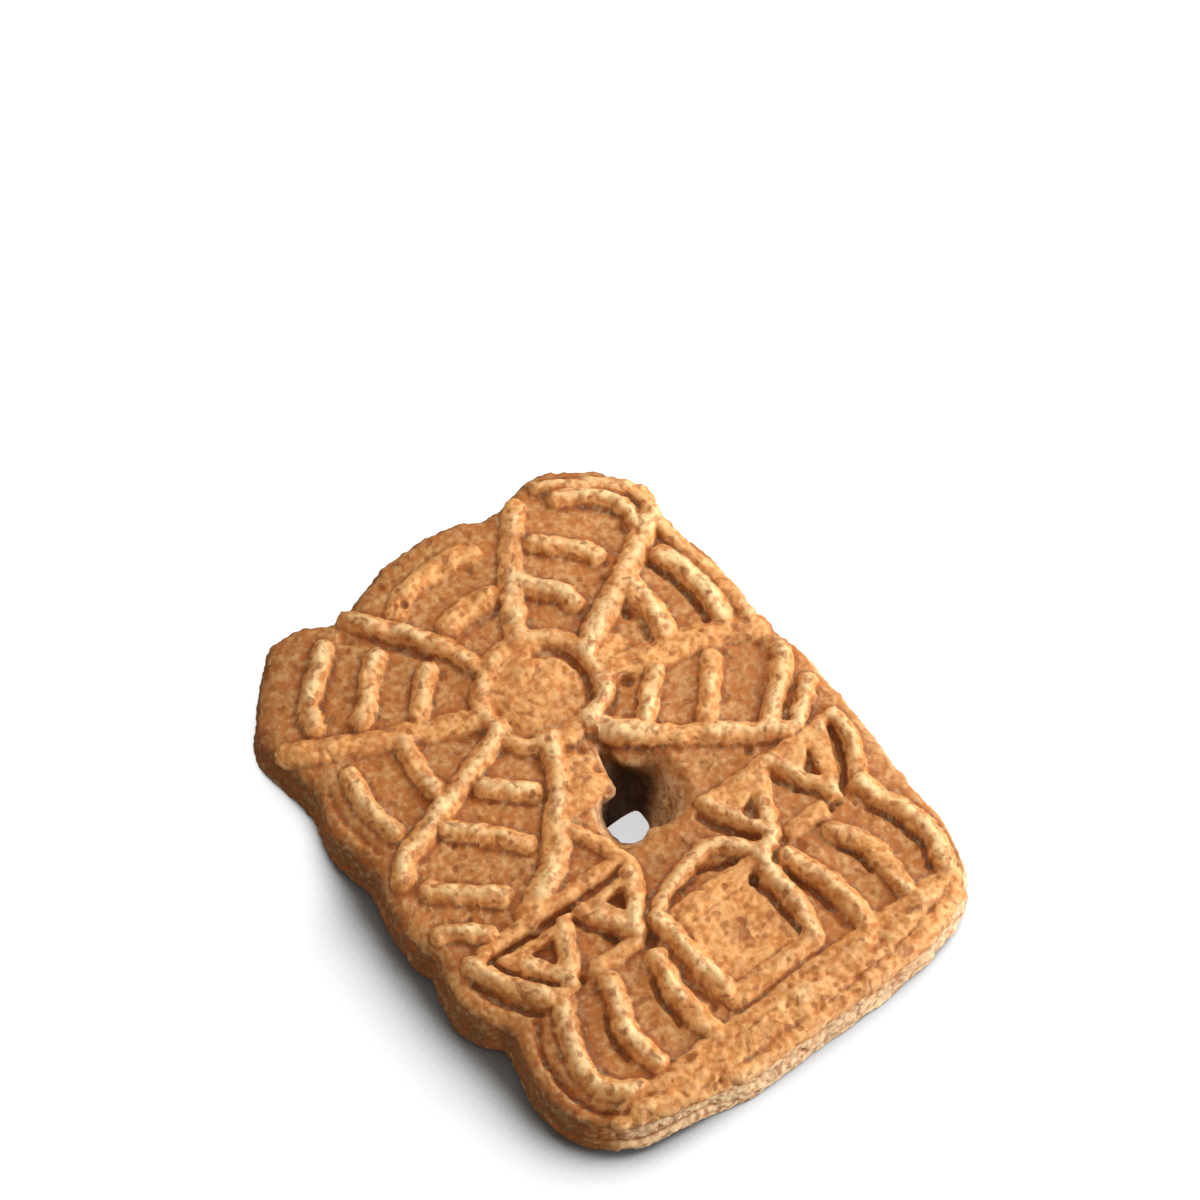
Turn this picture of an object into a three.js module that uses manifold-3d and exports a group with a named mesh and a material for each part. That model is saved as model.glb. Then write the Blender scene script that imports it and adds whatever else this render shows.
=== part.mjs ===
// A speculoos: a crisp spiced biscuit pressed in a windmill mould, about 53 x 69 mm and 8 mm thick.
// Millimetres, +Z up, lying flat with the pattern upwards and the sails towards +Y.
// The mould is drawn about the hub of the sails, and the finished biscuit is then moved so that
// its origin is at the middle of its box, on the surface that it lies on.

import * as THREE from 'three';
import { ParametricGeometry } from 'three/addons/geometries/ParametricGeometry.js';
import { mergeVertices } from 'three/addons/utils/BufferGeometryUtils.js';
import Module from 'manifold-3d';

// ---- Driving dimensions ----------------------------------------------------------------------

// The slab: a rounded rectangle, bulged and nicked where sails, gallery and corners meet its edge.
const SLAB = { x: -0.9, y: -11.3, halfWidth: 26, halfLength: 34.7, squareness: 4.7 };
const EDGE_WAVES = [
  { at: 15, swell: -1.1, spread: 8 }, // waist between the right-hand sails
  { at: 38, swell: -1.1, spread: 6 }, // hollow below the upper right sail
  { at: 56, swell: -0.4, spread: 5 }, // worn back of that sail
  { at: 73, swell: -2.2, spread: 6 }, // hollow beside it
  { at: 101, swell: -1.5, spread: 5 }, // worn edge beside the upper left sail
  { at: 108, swell: -2.5, spread: 4 }, // hollow next to it
  { at: 118, swell: 0.7, spread: 3 }, // tip of that sail
  { at: 135, swell: 1.2, spread: 4 }, // its outer corner
  { at: 146, swell: -1.2, spread: 5 }, // nick under it
  { at: 167, swell: -1, spread: 6 }, // waist between the left-hand sails
  { at: 192, swell: -0.6, spread: 3 }, // nick above the gallery
  { at: 202, swell: 1, spread: 6 }, // left end of the gallery
  { at: 214, swell: -1.8, spread: 4 }, // nick under the gallery
  { at: 226, swell: 1.1, spread: 7 }, // lower left corner
  { at: 246, swell: -1.1, spread: 8 }, // worn edge beside it
  { at: 309, swell: 1.5, spread: 7 }, // full lower right corner
  { at: 323, swell: -0.4, spread: 6 }, // worn edge above it
  { at: 347, swell: 0.6, spread: 12 }, // right end of the gallery
];
const FLOOR_HEIGHT = 6.8; // level ground of the pattern, between the ridges

// The shoulder falls from the pattern to the wall, and it is broadest beyond the upper left sail.
const SHOULDER_WIDTH = 1.4;
const SHOULDER_WAVES = [
  { at: 20, swell: -0.3, spread: 40 },
  { at: 94, swell: 1.6, spread: 12 },
  { at: 127, swell: 2.2, spread: 14 },
];
// Rings of the wall from the underside up: height, inset, and share of the shoulder's width.
const WALL_RINGS = [
  { height: 0, inset: 0.5, share: 0 },
  { height: 0.5, inset: 0.1, share: 0 },
  { height: 1.6, inset: 0, share: 0 },
  { height: 4.3, inset: 0.3, share: 0.05 },
  { height: 5.6, inset: 0.35, share: 0.25 },
  { height: 6.4, inset: 0.25, share: 0.6 },
  { height: FLOOR_HEIGHT, inset: 0.2, share: 1 },
];

// The hole narrows downwards, with a cleft towards the hub and crumb left in one corner.
const HOLE_TOP = { x: 0.9, y: -15, halfWidth: 4.6, halfLength: 4.1, squareness: 3 };
const HOLE_MIDDLE = { x: 0.3, y: -15.4, halfWidth: 3.4, halfLength: 3.2, squareness: 3 };
const HOLE_BOTTOM = { x: -0.5, y: -15.9, halfWidth: 2.8, halfLength: 2.6, squareness: 4.5 };
const HOLE_MIDDLE_HEIGHT = 4;
const HOLE_WAVES = [
  { at: 62, swell: 1.2, spread: 14 }, // worn side of the cleft
  { at: 84, swell: 3.8, spread: 12 }, // cleft
  { at: 126, swell: -2, spread: 16 }, // crumb
  { at: 152, swell: -1.2, spread: 12 }, // its lower end
  { at: 212, swell: 1.1, spread: 26 }, // worn edge towards the gallery
];

// Ridges stand on the ground with a rounded back, sunk a little so that their feet are not sharp.
const RIDGE_WIDTH = 2.4;
const RIDGE_HEIGHT = 1.3;
const RIDGE_SINK = 0.3;

// The hub: a ring round a low dome.
const HUB_RING = { x: -0.3, y: 0.9, radius: 6.1, width: 2 };
const HUB_DOME = { radius: 4.6, height: 0.8 };

// Each sail and each field between two sails holds bars that run round the hub.
const BARS = {
  upperLeftSail: { from: 130, to: 154, radii: [12.4, 18.3, 23.8] },
  upperField: { from: 77, to: 107, radii: [12.7, 18.2] },
  upperRightSail: { from: 31, to: 53, radii: [12.8, 17.6, 23.3] },
  rightField: { from: -10, to: 14.5, radii: [15.8, 21.4] },
  lowerRightSail: { from: -48, to: -25, radii: [12, 18.2, 24.5] },
  lowerRightCorner: { from: -45, to: -36, radii: [27.6] },
  lowerLeftSail: { from: 204, to: 226, radii: [12, 17.8, 24.2] },
  lowerLeftCorner: { from: 213, to: 222, radii: [28.3] },
  leftField: { from: 166, to: 190, radii: [15.5, 22] },
};

// A spar runs from the hub ring along each side of a sail; its bow is to the left of its run.
const SPARS = [
  { from: [-6.8, 1.4], to: [-25, 10.2], bow: 0, width: 3 },
  { from: [-3.6, 7], to: [-11, 19.2], bow: -0.5, width: 2.4 },
  { from: [2, 7], to: [10.8, 19], bow: 0.5, width: 2.9 },
  { from: [6.6, 1.2], to: [21.5, 9.6], bow: 0, width: 3 },
  { from: [-6, -1], to: [-24, -8.5], bow: -0.4, width: 2.8 },
  { from: [-3, -5], to: [-16, -19.3], bow: 1.1, width: 3.2 },
  { from: [5.8, -1.8], to: [22.4, -7.5], bow: 0.4, width: 3.4, height: 0.9 },
  { from: [2, -5.4], to: [17.5, -18.7], bow: -1, width: 2.8 },
];

// The upper right edge carries a rim ridge along the outline.
const RIM = { from: 12, to: 64, inset: 1.8, width: 1.8 };

// The gallery is the same on both sides: rails, an end post and two triangles that hang from the
// rail, each with a three-cornered pit. Radii run from a triangle's middle to its corners.
const GALLERY = {
  rail: [[5.4, -19.8], [22, -19.8]],
  lowRail: [[9.8, -27.6], [15, -27.6]],
  railWidth: 2.8,
  endPost: [[22.6, -20.2], [21.9, -24.2], [19.7, -28]],
  postWidth: 2.3,
  triangles: [[17, -23.5], [8.7, -23.5]],
  triangle: { foot: 5.1, back: 3.8, height: 1.2 },
  pit: { top: 2, bottom: 1.4, depth: 0.6 },
};

// A low rough mass of crumb lies left of the hole, and a brace runs down from it to the arch.
const CRUMB_BESIDE_HOLE = {
  corners: [[-1.6, -7.3], [-3, -7.4], [-5.7, -12.6], [-3.4, -12.8], [-1.2, -11.9], [-0.8, -9.4]],
  height: 0.7,
};
const BRACE = [[-6.4, -15], [-4.8, -20], [-7.9, -26]];

// Three bowed staves stand on each side of the door.
const STAVES = [
  [[8.7, -30], [9.9, -35], [9.8, -39.9]],
  [[14, -30], [15.8, -34.8], [15.6, -39.4]],
  [[19.2, -28.2], [21.6, -34.8], [20.5, -40]],
];
const STAVE_WIDTH = 2.8;

// The door stands in a frame under an arch, with a plain lintel panel over its leaf. The corners
// of a panel are those of its flat top.
const DOOR = {
  arch: [[-6.4, -27.2], [-3.4, -25.3], [1, -24.1], [4, -24.8], [7.8, -27.7]],
  leftPost: [[-6, -27.8], [-5.5, -37.8]],
  rightPost: [[6.4, -27.8], [6, -33.5], [4.9, -38.2]],
  step: [[-5.2, -38.3], [4.9, -38.3]],
  postWidth: 2.7,
  stepHeight: 1,
  lintel: { corners: [[-4.7, -29.3], [5.7, -29.1], [5.9, -27.5], [-4.7, -27.5]], height: 0.85 },
  leaf: { corners: [[-4.9, -37.2], [3.7, -37.2], [3.5, -29.6], [-4.9, -29.6]], height: 0.5 },
};

// A broad sill closes the foot of the biscuit.
const SILL = {
  path: [[-21.4, -39], [-17, -41.2], [-6, -42.1], [6, -42.2], [17, -41.5], [21, -39.6]],
  width: 4.4,
  height: 0.95,
};

// Fineness of the faceted surface.
const SLAB_SIDES = 120;
const SECTION_SIDES = 8;
const CAP_RINGS = 2;
const BEND_STEP = 2.6;
const RIM_STEPS = 8;
const RING_SIDES = 28;
const DOME_FACETS = [20, 8];
const SMALLEST_DETAIL = 0.02;
const MERGE_DISTANCE = 1e-4;

const CRUMB_COLOUR = '#b9793f';

// ---- Curves of the mould ---------------------------------------------------------------------

// Sum of soft swellings round a closed outline, each with its place and spread in degrees.
function waveSum(waves, angle) {
  const degrees = THREE.MathUtils.radToDeg(angle);
  let sum = 0;
  for (const { at, swell, spread } of waves) {
    const away = THREE.MathUtils.euclideanModulo(degrees - at + 180, 360) - 180;
    sum += swell * Math.exp(-((away / spread) ** 2));
  }
  return sum;
}

// Distance from the middle of a rounded rectangle to its edge at an angle.
function roundedRectangleReach({ halfWidth, halfLength, squareness }, angle) {
  const across = Math.abs(Math.cos(angle) / halfWidth) ** squareness;
  const along = Math.abs(Math.sin(angle) / halfLength) ** squareness;
  return (across + along) ** (-1 / squareness);
}

// Point at a distance inside the slab's outline.
function slabEdge(angle, inset) {
  const reach = roundedRectangleReach(SLAB, angle) + waveSum(EDGE_WAVES, angle) - inset;
  return new THREE.Vector2(SLAB.x + reach * Math.cos(angle), SLAB.y + reach * Math.sin(angle));
}

// Point on the edge of the hole at one level; the waves belong to its upper edge only.
function holeEdge(angle, level, waves) {
  const reach = roundedRectangleReach(level, angle) + waveSum(waves, angle);
  return new THREE.Vector2(level.x + reach * Math.cos(angle), level.y + reach * Math.sin(angle));
}

// The closed section of the slab at one angle: round the hole's wall and the outer wall.
function slabSection(angle) {
  const shoulder = SHOULDER_WIDTH + waveSum(SHOULDER_WAVES, angle);
  const section = [{ edge: holeEdge(angle, HOLE_BOTTOM, []), height: 0 }];
  for (const { height, inset, share } of WALL_RINGS) {
    section.push({ edge: slabEdge(angle, inset + share * shoulder), height });
  }
  section.push({ edge: holeEdge(angle, HOLE_TOP, HOLE_WAVES), height: FLOOR_HEIGHT });
  section.push({ edge: holeEdge(angle, HOLE_MIDDLE, []), height: HOLE_MIDDLE_HEIGHT });
  section.push(section[0]);
  return section;
}

// A smooth path through a few points, given as [x, y] pairs.
function smoothPath(points) {
  return new THREE.CatmullRomCurve3(points.map(([x, y]) => new THREE.Vector3(x, y, 0)));
}

// A path between two points that bows sideways by a given amount at its middle.
function bowedPath(from, to, bow) {
  const start = new THREE.Vector3(...from, 0);
  const end = new THREE.Vector3(...to, 0);
  const left = new THREE.Vector3(start.y - end.y, end.x - start.x, 0).normalize();
  const middle = start.clone().lerp(end, 0.5).addScaledVector(left, 2 * bow);
  return new THREE.QuadraticBezierCurve3(start, middle, end);
}

// A path round the hub at one radius, between two angles in degrees.
function barPath(radius, from, to) {
  const points = [from, (from + to) / 2, to].map((degrees) => {
    const angle = THREE.MathUtils.degToRad(degrees);
    return [radius * Math.cos(angle), radius * Math.sin(angle)];
  });
  return smoothPath(points);
}

// The same points on the other side of the mill.
function mirrored(points, side) {
  return points.map(([x, y]) => [side * x, y]);
}

// ---- Solids ----------------------------------------------------------------------------------

const wasm = await Module();
wasm.setup();

// A closed three.js mesh as a solid that can be joined and cut.
function toSolid(geometry) {
  geometry.deleteAttribute('normal');
  geometry.deleteAttribute('uv');
  const merged = mergeVertices(geometry, MERGE_DISTANCE);
  const mesh = new wasm.Mesh({
    numProp: 3,
    vertProperties: new Float32Array(merged.attributes.position.array),
    triVerts: new Uint32Array(merged.index.array),
  });
  return new wasm.Manifold(mesh);
}

// The slab with its hole: one closed section swept once round.
function slabSolid() {
  const rings = slabSection(0).length - 1;
  const surface = (turn, way, target) => {
    const { edge, height } = slabSection(turn * 2 * Math.PI)[Math.round(way * rings)];
    target.set(edge.x, edge.y, height);
  };
  return toSolid(new ParametricGeometry(surface, SLAB_SIDES, rings));
}

// A rounded ridge: a capsule bent along a path on the ground, half sunk in the slab.
function ridgeSolid(path, { width = RIDGE_WIDTH, height = RIDGE_HEIGHT } = {}) {
  const steps = Math.max(2, Math.round(path.getLength() / BEND_STEP));
  const geometry = new THREE.CapsuleGeometry(0.5, 1, CAP_RINGS, SECTION_SIDES, steps);
  const position = geometry.attributes.position;
  for (let i = 0; i < position.count; i += 1) {
    const way = THREE.MathUtils.clamp(position.getY(i) + 0.5, 0, 1);
    const beyond = (position.getY(i) + 0.5 - way) * width;
    const aside = position.getX(i) * width;
    const rise = position.getZ(i) * 2 * (height + RIDGE_SINK);
    const centre = path.getPointAt(way);
    const run = path.getTangentAt(way);
    const x = centre.x + run.x * beyond + run.y * aside;
    const y = centre.y + run.y * beyond - run.x * aside;
    position.setXYZ(i, x, y, FLOOR_HEIGHT - RIDGE_SINK + rise);
  }
  return toSolid(geometry);
}

// The share of a low plate's height that its bevelled edges take.
const BEVEL_SHARE = 0.6;

// A low plate with bevelled edges that stands on the ground, from the corners of its flat top.
function plateSolid({ corners, height }) {
  const bevel = height * BEVEL_SHARE;
  const shape = new THREE.Shape(corners.map(([x, y]) => new THREE.Vector2(x, y)));
  const geometry = new THREE.ExtrudeGeometry(shape, {
    depth: height,
    bevelEnabled: true,
    bevelThickness: bevel,
    bevelSize: bevel,
    bevelSegments: 1,
  });
  geometry.translate(0, 0, FLOOR_HEIGHT - bevel);
  return toSolid(geometry);
}

// A three-cornered block with sloping walls between two heights, one corner towards the sill.
function triangleSolid([x, y], { low, high, lowRadius, highRadius }) {
  const geometry = new THREE.CylinderGeometry(highRadius, lowRadius, high - low, 3);
  geometry.rotateX(Math.PI / 2);
  geometry.translate(x, y, (low + high) / 2);
  return toSolid(geometry);
}

// ---- The pattern -----------------------------------------------------------------------------

// The hub's ring and the low dome inside it.
function hubSolids() {
  const ring = new THREE.TorusGeometry(HUB_RING.radius, HUB_RING.width / 2, SECTION_SIDES, RING_SIDES);
  const ringRise = (RIDGE_HEIGHT + RIDGE_SINK) / (HUB_RING.width / 2);
  ring.scale(1, 1, ringRise);
  ring.translate(HUB_RING.x, HUB_RING.y, FLOOR_HEIGHT - RIDGE_SINK);
  const dome = new THREE.SphereGeometry(HUB_DOME.radius, ...DOME_FACETS);
  dome.rotateX(Math.PI / 2);
  dome.scale(1, 1, (HUB_DOME.height + RIDGE_SINK) / HUB_DOME.radius);
  dome.translate(HUB_RING.x, HUB_RING.y, FLOOR_HEIGHT - RIDGE_SINK);
  return [toSolid(ring), toSolid(dome)];
}

// The bars of the sails and of the fields between them, and the spars beside them.
function sailSolids() {
  const solids = [];
  for (const { from, to, radii } of Object.values(BARS)) {
    for (const radius of radii) {
      solids.push(ridgeSolid(barPath(radius, from, to)));
    }
  }
  for (const { from, to, bow, width, height } of SPARS) {
    solids.push(ridgeSolid(bowedPath(from, to, bow), { width, height }));
  }
  return solids;
}

// The rim ridge that follows the outline.
function rimSolid() {
  const points = [];
  for (let step = 0; step <= RIM_STEPS; step += 1) {
    const degrees = THREE.MathUtils.lerp(RIM.from, RIM.to, step / RIM_STEPS);
    const angle = THREE.MathUtils.degToRad(degrees);
    points.push(slabEdge(angle, RIM.inset).toArray());
  }
  return ridgeSolid(smoothPath(points), { width: RIM.width });
}

// One side of the gallery: rails, end post and hanging triangles.
function gallerySolids(side) {
  const { rail, lowRail, railWidth, endPost, postWidth, triangle } = GALLERY;
  const solids = [
    ridgeSolid(smoothPath(mirrored(rail, side)), { width: railWidth }),
    ridgeSolid(smoothPath(mirrored(lowRail, side)), { width: railWidth }),
    ridgeSolid(smoothPath(mirrored(endPost, side)), { width: postWidth }),
  ];
  for (const middle of mirrored(GALLERY.triangles, side)) {
    solids.push(triangleSolid(middle, {
      low: FLOOR_HEIGHT - RIDGE_SINK,
      high: FLOOR_HEIGHT + triangle.height,
      lowRadius: triangle.foot,
      highRadius: triangle.back,
    }));
  }
  return solids;
}

// The pits pressed into the hanging triangles of one side.
function pitSolids(side) {
  const { pit } = GALLERY;
  return mirrored(GALLERY.triangles, side).map((middle) => triangleSolid(middle, {
    low: FLOOR_HEIGHT - pit.depth,
    high: FLOOR_HEIGHT + 2 * RIDGE_HEIGHT,
    lowRadius: pit.bottom,
    highRadius: pit.top,
  }));
}

// The door, its arch, posts and step.
function doorSolids() {
  const { arch, leftPost, rightPost, step, stepHeight, postWidth, lintel, leaf } = DOOR;
  return [
    ridgeSolid(smoothPath(arch)),
    ridgeSolid(smoothPath(leftPost), { width: postWidth }),
    ridgeSolid(smoothPath(rightPost), { width: postWidth }),
    ridgeSolid(smoothPath(step), { width: postWidth, height: stepHeight }),
    plateSolid(lintel),
    plateSolid(leaf),
  ];
}

// Every raised part of the pattern.
function raisedSolids() {
  const solids = [...hubSolids(), ...sailSolids(), rimSolid(), ...doorSolids()];
  for (const side of [-1, 1]) {
    solids.push(...gallerySolids(side));
    for (const stave of STAVES) {
      solids.push(ridgeSolid(smoothPath(mirrored(stave, side)), { width: STAVE_WIDTH }));
    }
  }
  solids.push(plateSolid(CRUMB_BESIDE_HOLE), ridgeSolid(smoothPath(BRACE)));
  solids.push(ridgeSolid(smoothPath(SILL.path), SILL));
  return solids;
}

// ---- The biscuit -----------------------------------------------------------------------------

// A solid back as a three.js mesh, moved so that its origin is under the middle of its box.
function toGeometry(solid) {
  const { vertProperties, triVerts } = solid.getMesh();
  const geometry = new THREE.BufferGeometry();
  geometry.setAttribute('position', new THREE.BufferAttribute(vertProperties, 3));
  geometry.setIndex(new THREE.BufferAttribute(triVerts, 1));
  geometry.computeBoundingBox();
  const { min, max } = geometry.boundingBox;
  geometry.translate(-(min.x + max.x) / 2, -(min.y + max.y) / 2, -min.z);
  geometry.computeVertexNormals();
  return geometry;
}

function biscuitSolid() {
  let solid = slabSolid();
  for (const raised of raisedSolids()) {
    solid = solid.add(raised);
  }
  for (const pit of [...pitSolids(-1), ...pitSolids(1)]) {
    solid = solid.subtract(pit);
  }
  return solid.simplify(SMALLEST_DETAIL);
}

const crumb = new THREE.MeshStandardMaterial({
  color: CRUMB_COLOUR,
  roughness: 0.85,
  metalness: 0,
});
const biscuit = new THREE.Mesh(toGeometry(biscuitSolid()), crumb);
biscuit.name = 'biscuit';

const speculoos = new THREE.Group();
speculoos.add(biscuit);

export default speculoos;
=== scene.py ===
"""A speculoos pressed in a windmill mould: its pattern, its crumb and a plain studio round it.

The mould is drawn in millimetres about the hub of the sails, with x to the right along the
gallery and y up towards the sails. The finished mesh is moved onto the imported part, in metres.
"""

import logging
from dataclasses import dataclass
from enum import Enum
from itertools import product

import bpy
import numpy as np
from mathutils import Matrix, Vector


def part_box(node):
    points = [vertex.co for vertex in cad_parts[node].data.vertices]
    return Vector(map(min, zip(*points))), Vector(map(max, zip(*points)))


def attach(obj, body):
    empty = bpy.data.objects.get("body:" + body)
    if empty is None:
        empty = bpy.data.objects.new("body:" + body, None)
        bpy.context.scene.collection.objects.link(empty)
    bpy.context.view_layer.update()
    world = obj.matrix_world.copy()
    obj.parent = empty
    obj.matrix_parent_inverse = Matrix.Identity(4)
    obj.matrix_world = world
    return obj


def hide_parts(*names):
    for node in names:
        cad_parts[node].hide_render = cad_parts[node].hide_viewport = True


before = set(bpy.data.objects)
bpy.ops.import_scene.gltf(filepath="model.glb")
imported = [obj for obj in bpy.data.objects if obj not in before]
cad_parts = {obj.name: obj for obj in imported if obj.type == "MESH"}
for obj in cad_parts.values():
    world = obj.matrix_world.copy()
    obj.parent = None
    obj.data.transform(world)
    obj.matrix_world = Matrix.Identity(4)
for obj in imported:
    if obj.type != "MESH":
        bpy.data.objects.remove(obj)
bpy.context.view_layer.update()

log = logging.getLogger("speculoos")

MM = 0.001

Array = np.ndarray
Point = tuple[float, float]
Place = tuple[float, float, float]
Colour = tuple[float, float, float, float]


# ---- Fields ----------------------------------------------------------------------------------

# A fixed turn, so that the cells of a noise do not line up with the biscuit's sides.
NOISE_TURN = np.array([[0.36, 0.48, -0.80], [-0.80, 0.60, 0.00], [0.48, 0.64, 0.60]])
HASH_STEPS = np.array([73856093, 19349663, 83492791])
HASH_SIZE = 8192


def ease(value: Array, low: float, high: float) -> Array:
    """Smooth step t * t * (3 - 2 t) from 0 at low to 1 at high."""
    way = np.clip((value - low) / (high - low), 0.0, 1.0)
    return way * way * (3.0 - 2.0 * way)


def polar(places: Array, middle: Array) -> tuple[Array, Array]:
    """Angle and distance of each place as seen from a middle, on the plane."""
    away = places[:, :2] - middle
    return np.arctan2(away[:, 1], away[:, 0]), np.hypot(*away.T)


def at_height(places: Array, height: Array | float = 0.0) -> Array:
    """Places on the plane as points in space."""
    return np.column_stack([places, np.broadcast_to(height, len(places))])


def lattice_key(cell: Array) -> Array:
    """Index into a table of random values for whole-numbered lattice cells."""
    mixed = cell * HASH_STEPS
    return (mixed[..., 0] ^ mixed[..., 1] ^ mixed[..., 2]) % HASH_SIZE


def lattice_cell(points: Array, size: float) -> tuple[Array, Array]:
    """Points in units of a turned lattice, and the lattice cell that each lies in."""
    place = points @ NOISE_TURN / size
    return place, np.floor(place).astype(np.int64)


def soft_noise(points: Array, size: float, seed: int) -> Array:
    """Smooth noise from -1 to 1 that changes over a given size.

    Space is cut into cubes of that size with a random value at each corner. A point takes the
    eight values round it, blended along each axis by t^3 (t (6 t - 15) + 10).

    Args:
        points: Places, one row of x, y, z each.
        size: Side of the cubes.
        seed: Seed of the corner values.

    Returns:
        One value for each point.
    """
    table = np.random.default_rng(seed).uniform(-1.0, 1.0, HASH_SIZE)
    place, cell = lattice_cell(points, size)
    t = place - cell
    blend = t**3 * (t * (6.0 * t - 15.0) + 10.0)
    total = np.zeros(len(points))
    for corner in product((0, 1), repeat=3):
        share = np.where(np.array(corner) == 1, blend, 1.0 - blend).prod(axis=1)
        total += share * table[lattice_key(cell + np.array(corner))]
    return total


def grains(points: Array, size: float, seed: int) -> tuple[Array, Array]:
    """Cells of irregular grains: each cube of space holds one randomly placed centre.

    Args:
        points: Places, one row of x, y, z each.
        size: Side of the cubes, which is about the distance between grains.
        seed: Seed of the centres.

    Returns:
        Distance to the nearest centre as a share of the size, and that grain's own random
        number from 0 to 1.
    """
    rng = np.random.default_rng(seed)
    centres = rng.uniform(0.0, 1.0, (HASH_SIZE, 3))
    numbers = rng.uniform(0.0, 1.0, HASH_SIZE)
    place, cell = lattice_cell(points, size)
    nearest = np.full(len(points), np.inf)
    number = np.zeros(len(points))
    for step in product((-1, 0, 1), repeat=3):
        other = cell + np.array(step)
        key = lattice_key(other)
        distance = np.linalg.norm(other + centres[key] - place, axis=1)
        closer = distance < nearest
        nearest = np.where(closer, distance, nearest)
        number = np.where(closer, numbers[key], number)
    return nearest, number


def smooth_path(points: list[Point], step: float = 0.5) -> Array:
    """A smooth line through a few points, by Catmull-Rom pieces.

    Between p1 and p2 the line is 0.5 (2 p1 + (p2 - p0) t + (2 p0 - 5 p1 + 4 p2 - p3) t^2
    + (3 p1 - p0 - 3 p2 + p3) t^3), and the end points are repeated.

    Args:
        points: Two or more points to pass through.
        step: Rough distance between the points of the result.

    Returns:
        The line's points, one row of x, y each.
    """
    p = np.array([points[0], *points, points[-1]], float)
    pieces = []
    for p0, p1, p2, p3 in zip(p[:-3], p[1:-2], p[2:-1], p[3:]):
        count = max(2, int(np.ceil(np.linalg.norm(p2 - p1) / step)))
        t = np.linspace(0.0, 1.0, count, endpoint=False)[:, None]
        pieces.append(0.5 * (2 * p1 + (p2 - p0) * t + (2 * p0 - 5 * p1 + 4 * p2 - p3) * t**2
                             + (3 * p1 - p0 - 3 * p2 + p3) * t**3))
    return np.vstack([*pieces, p[-1:]])


def path_distance(points: Array, path: Array) -> Array:
    """Distance from each point to the nearest place on a line of straight pieces."""
    run = np.diff(path, axis=0)
    offset = points[:, None, :] - path[None, :-1, :]
    way = np.clip((offset * run).sum(-1) / (run * run).sum(-1), 0.0, 1.0)
    gap = offset - way[..., None] * run
    return np.sqrt((gap**2).sum(-1).min(axis=1))


# ---- Outlines --------------------------------------------------------------------------------


@dataclass(frozen=True)
class Wave:
    """A soft swelling of an outline at one place, in degrees, and its spread there."""

    at: float
    swell: float
    spread: float


def wave_sum(waves: tuple[Wave, ...], angle: Array) -> Array:
    """Sum of swell * exp(-(away / spread)^2), with away the shorter way round in degrees."""
    total = np.zeros_like(angle)
    for wave in waves:
        away = (np.degrees(angle) - wave.at + 180.0) % 360.0 - 180.0
        total = total + wave.swell * np.exp(-((away / wave.spread) ** 2))
    return total


@dataclass(frozen=True)
class Outline:
    """A rounded rectangle about its middle, bulged and nicked by waves."""

    x: float
    y: float
    half_width: float
    half_length: float
    squareness: float
    waves: tuple[Wave, ...] = ()

    @property
    def middle(self) -> Array:
        """The point that the outline runs round."""
        return np.array([self.x, self.y])

    def reach(self, angle: Array) -> Array:
        """(|cos a / w|^n + |sin a / l|^n)^(-1 / n), plus the waves."""
        across = np.abs(np.cos(angle) / self.half_width) ** self.squareness
        along = np.abs(np.sin(angle) / self.half_length) ** self.squareness
        return (across + along) ** (-1.0 / self.squareness) + wave_sum(self.waves, angle)

    def slant(self, angle: Array) -> Array:
        """Cosine between the outline's normal and its radius: r / sqrt(r^2 + r'^2)."""
        step = 1e-3
        reach = self.reach(angle)
        change = (self.reach(angle + step) - self.reach(angle - step)) / (2.0 * step)
        return reach / np.hypot(reach, change)

    def at(self, angle: Array, reach: Array) -> Array:
        """Points at an angle and a distance from the middle."""
        way = np.stack([np.cos(angle), np.sin(angle)], axis=-1)
        return self.middle + way * np.asarray(reach)[..., None]

    def angle_at_share(self, share: Array) -> Array:
        """Angle at which a share of the outline's length has been run, from angle 0."""
        angle = np.linspace(0.0, 2.0 * np.pi, 4001)
        points = self.at(angle, self.reach(angle))
        steps = np.linalg.norm(np.diff(points, axis=0), axis=1)
        length = np.concatenate([[0.0], np.cumsum(steps)])
        return np.interp(share % 1.0, length / length[-1], angle)


# ---- The pattern -----------------------------------------------------------------------------


class Press(Enum):
    """Which way the mould pressed a stroke."""

    RIDGE = 1
    GROOVE = -1


@dataclass(frozen=True)
class Stroke:
    """A ridge or a groove along a smooth line."""

    path: list[Point]
    width: float = 2.4
    height: float = 1.3
    press: Press = Press.RIDGE

    def profile(self, places: Array) -> Array:
        """Height of the stroke at each place, 0 beyond its sides.

        Across a ridge the height is h (1 - t^2)^0.75, and across a groove h (1 - t^2)^2, with t
        the distance from the line as a share of half the width.
        """
        line = smooth_path(self.path)
        half = self.width / 2.0
        near = ((places > line.min(0) - half) & (places < line.max(0) + half)).all(axis=1)
        share = np.ones(len(places))
        share[near] = path_distance(places[near], line) / half
        power = 0.75 if self.press is Press.RIDGE else 2.0
        return self.height * np.clip(1.0 - share**2, 0.0, None) ** power


@dataclass(frozen=True)
class Dent:
    """A round pit in the face, or a knob where its depth is below 0."""

    x: float
    y: float
    radius: float
    depth: float

    def profile(self, places: Array) -> Array:
        """Depth times exp(-(distance / radius)^4), which has a flat middle and a soft rim."""
        _, distance = polar(places, np.array([self.x, self.y]))
        return self.depth * np.exp(-((distance / self.radius) ** 4))


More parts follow.
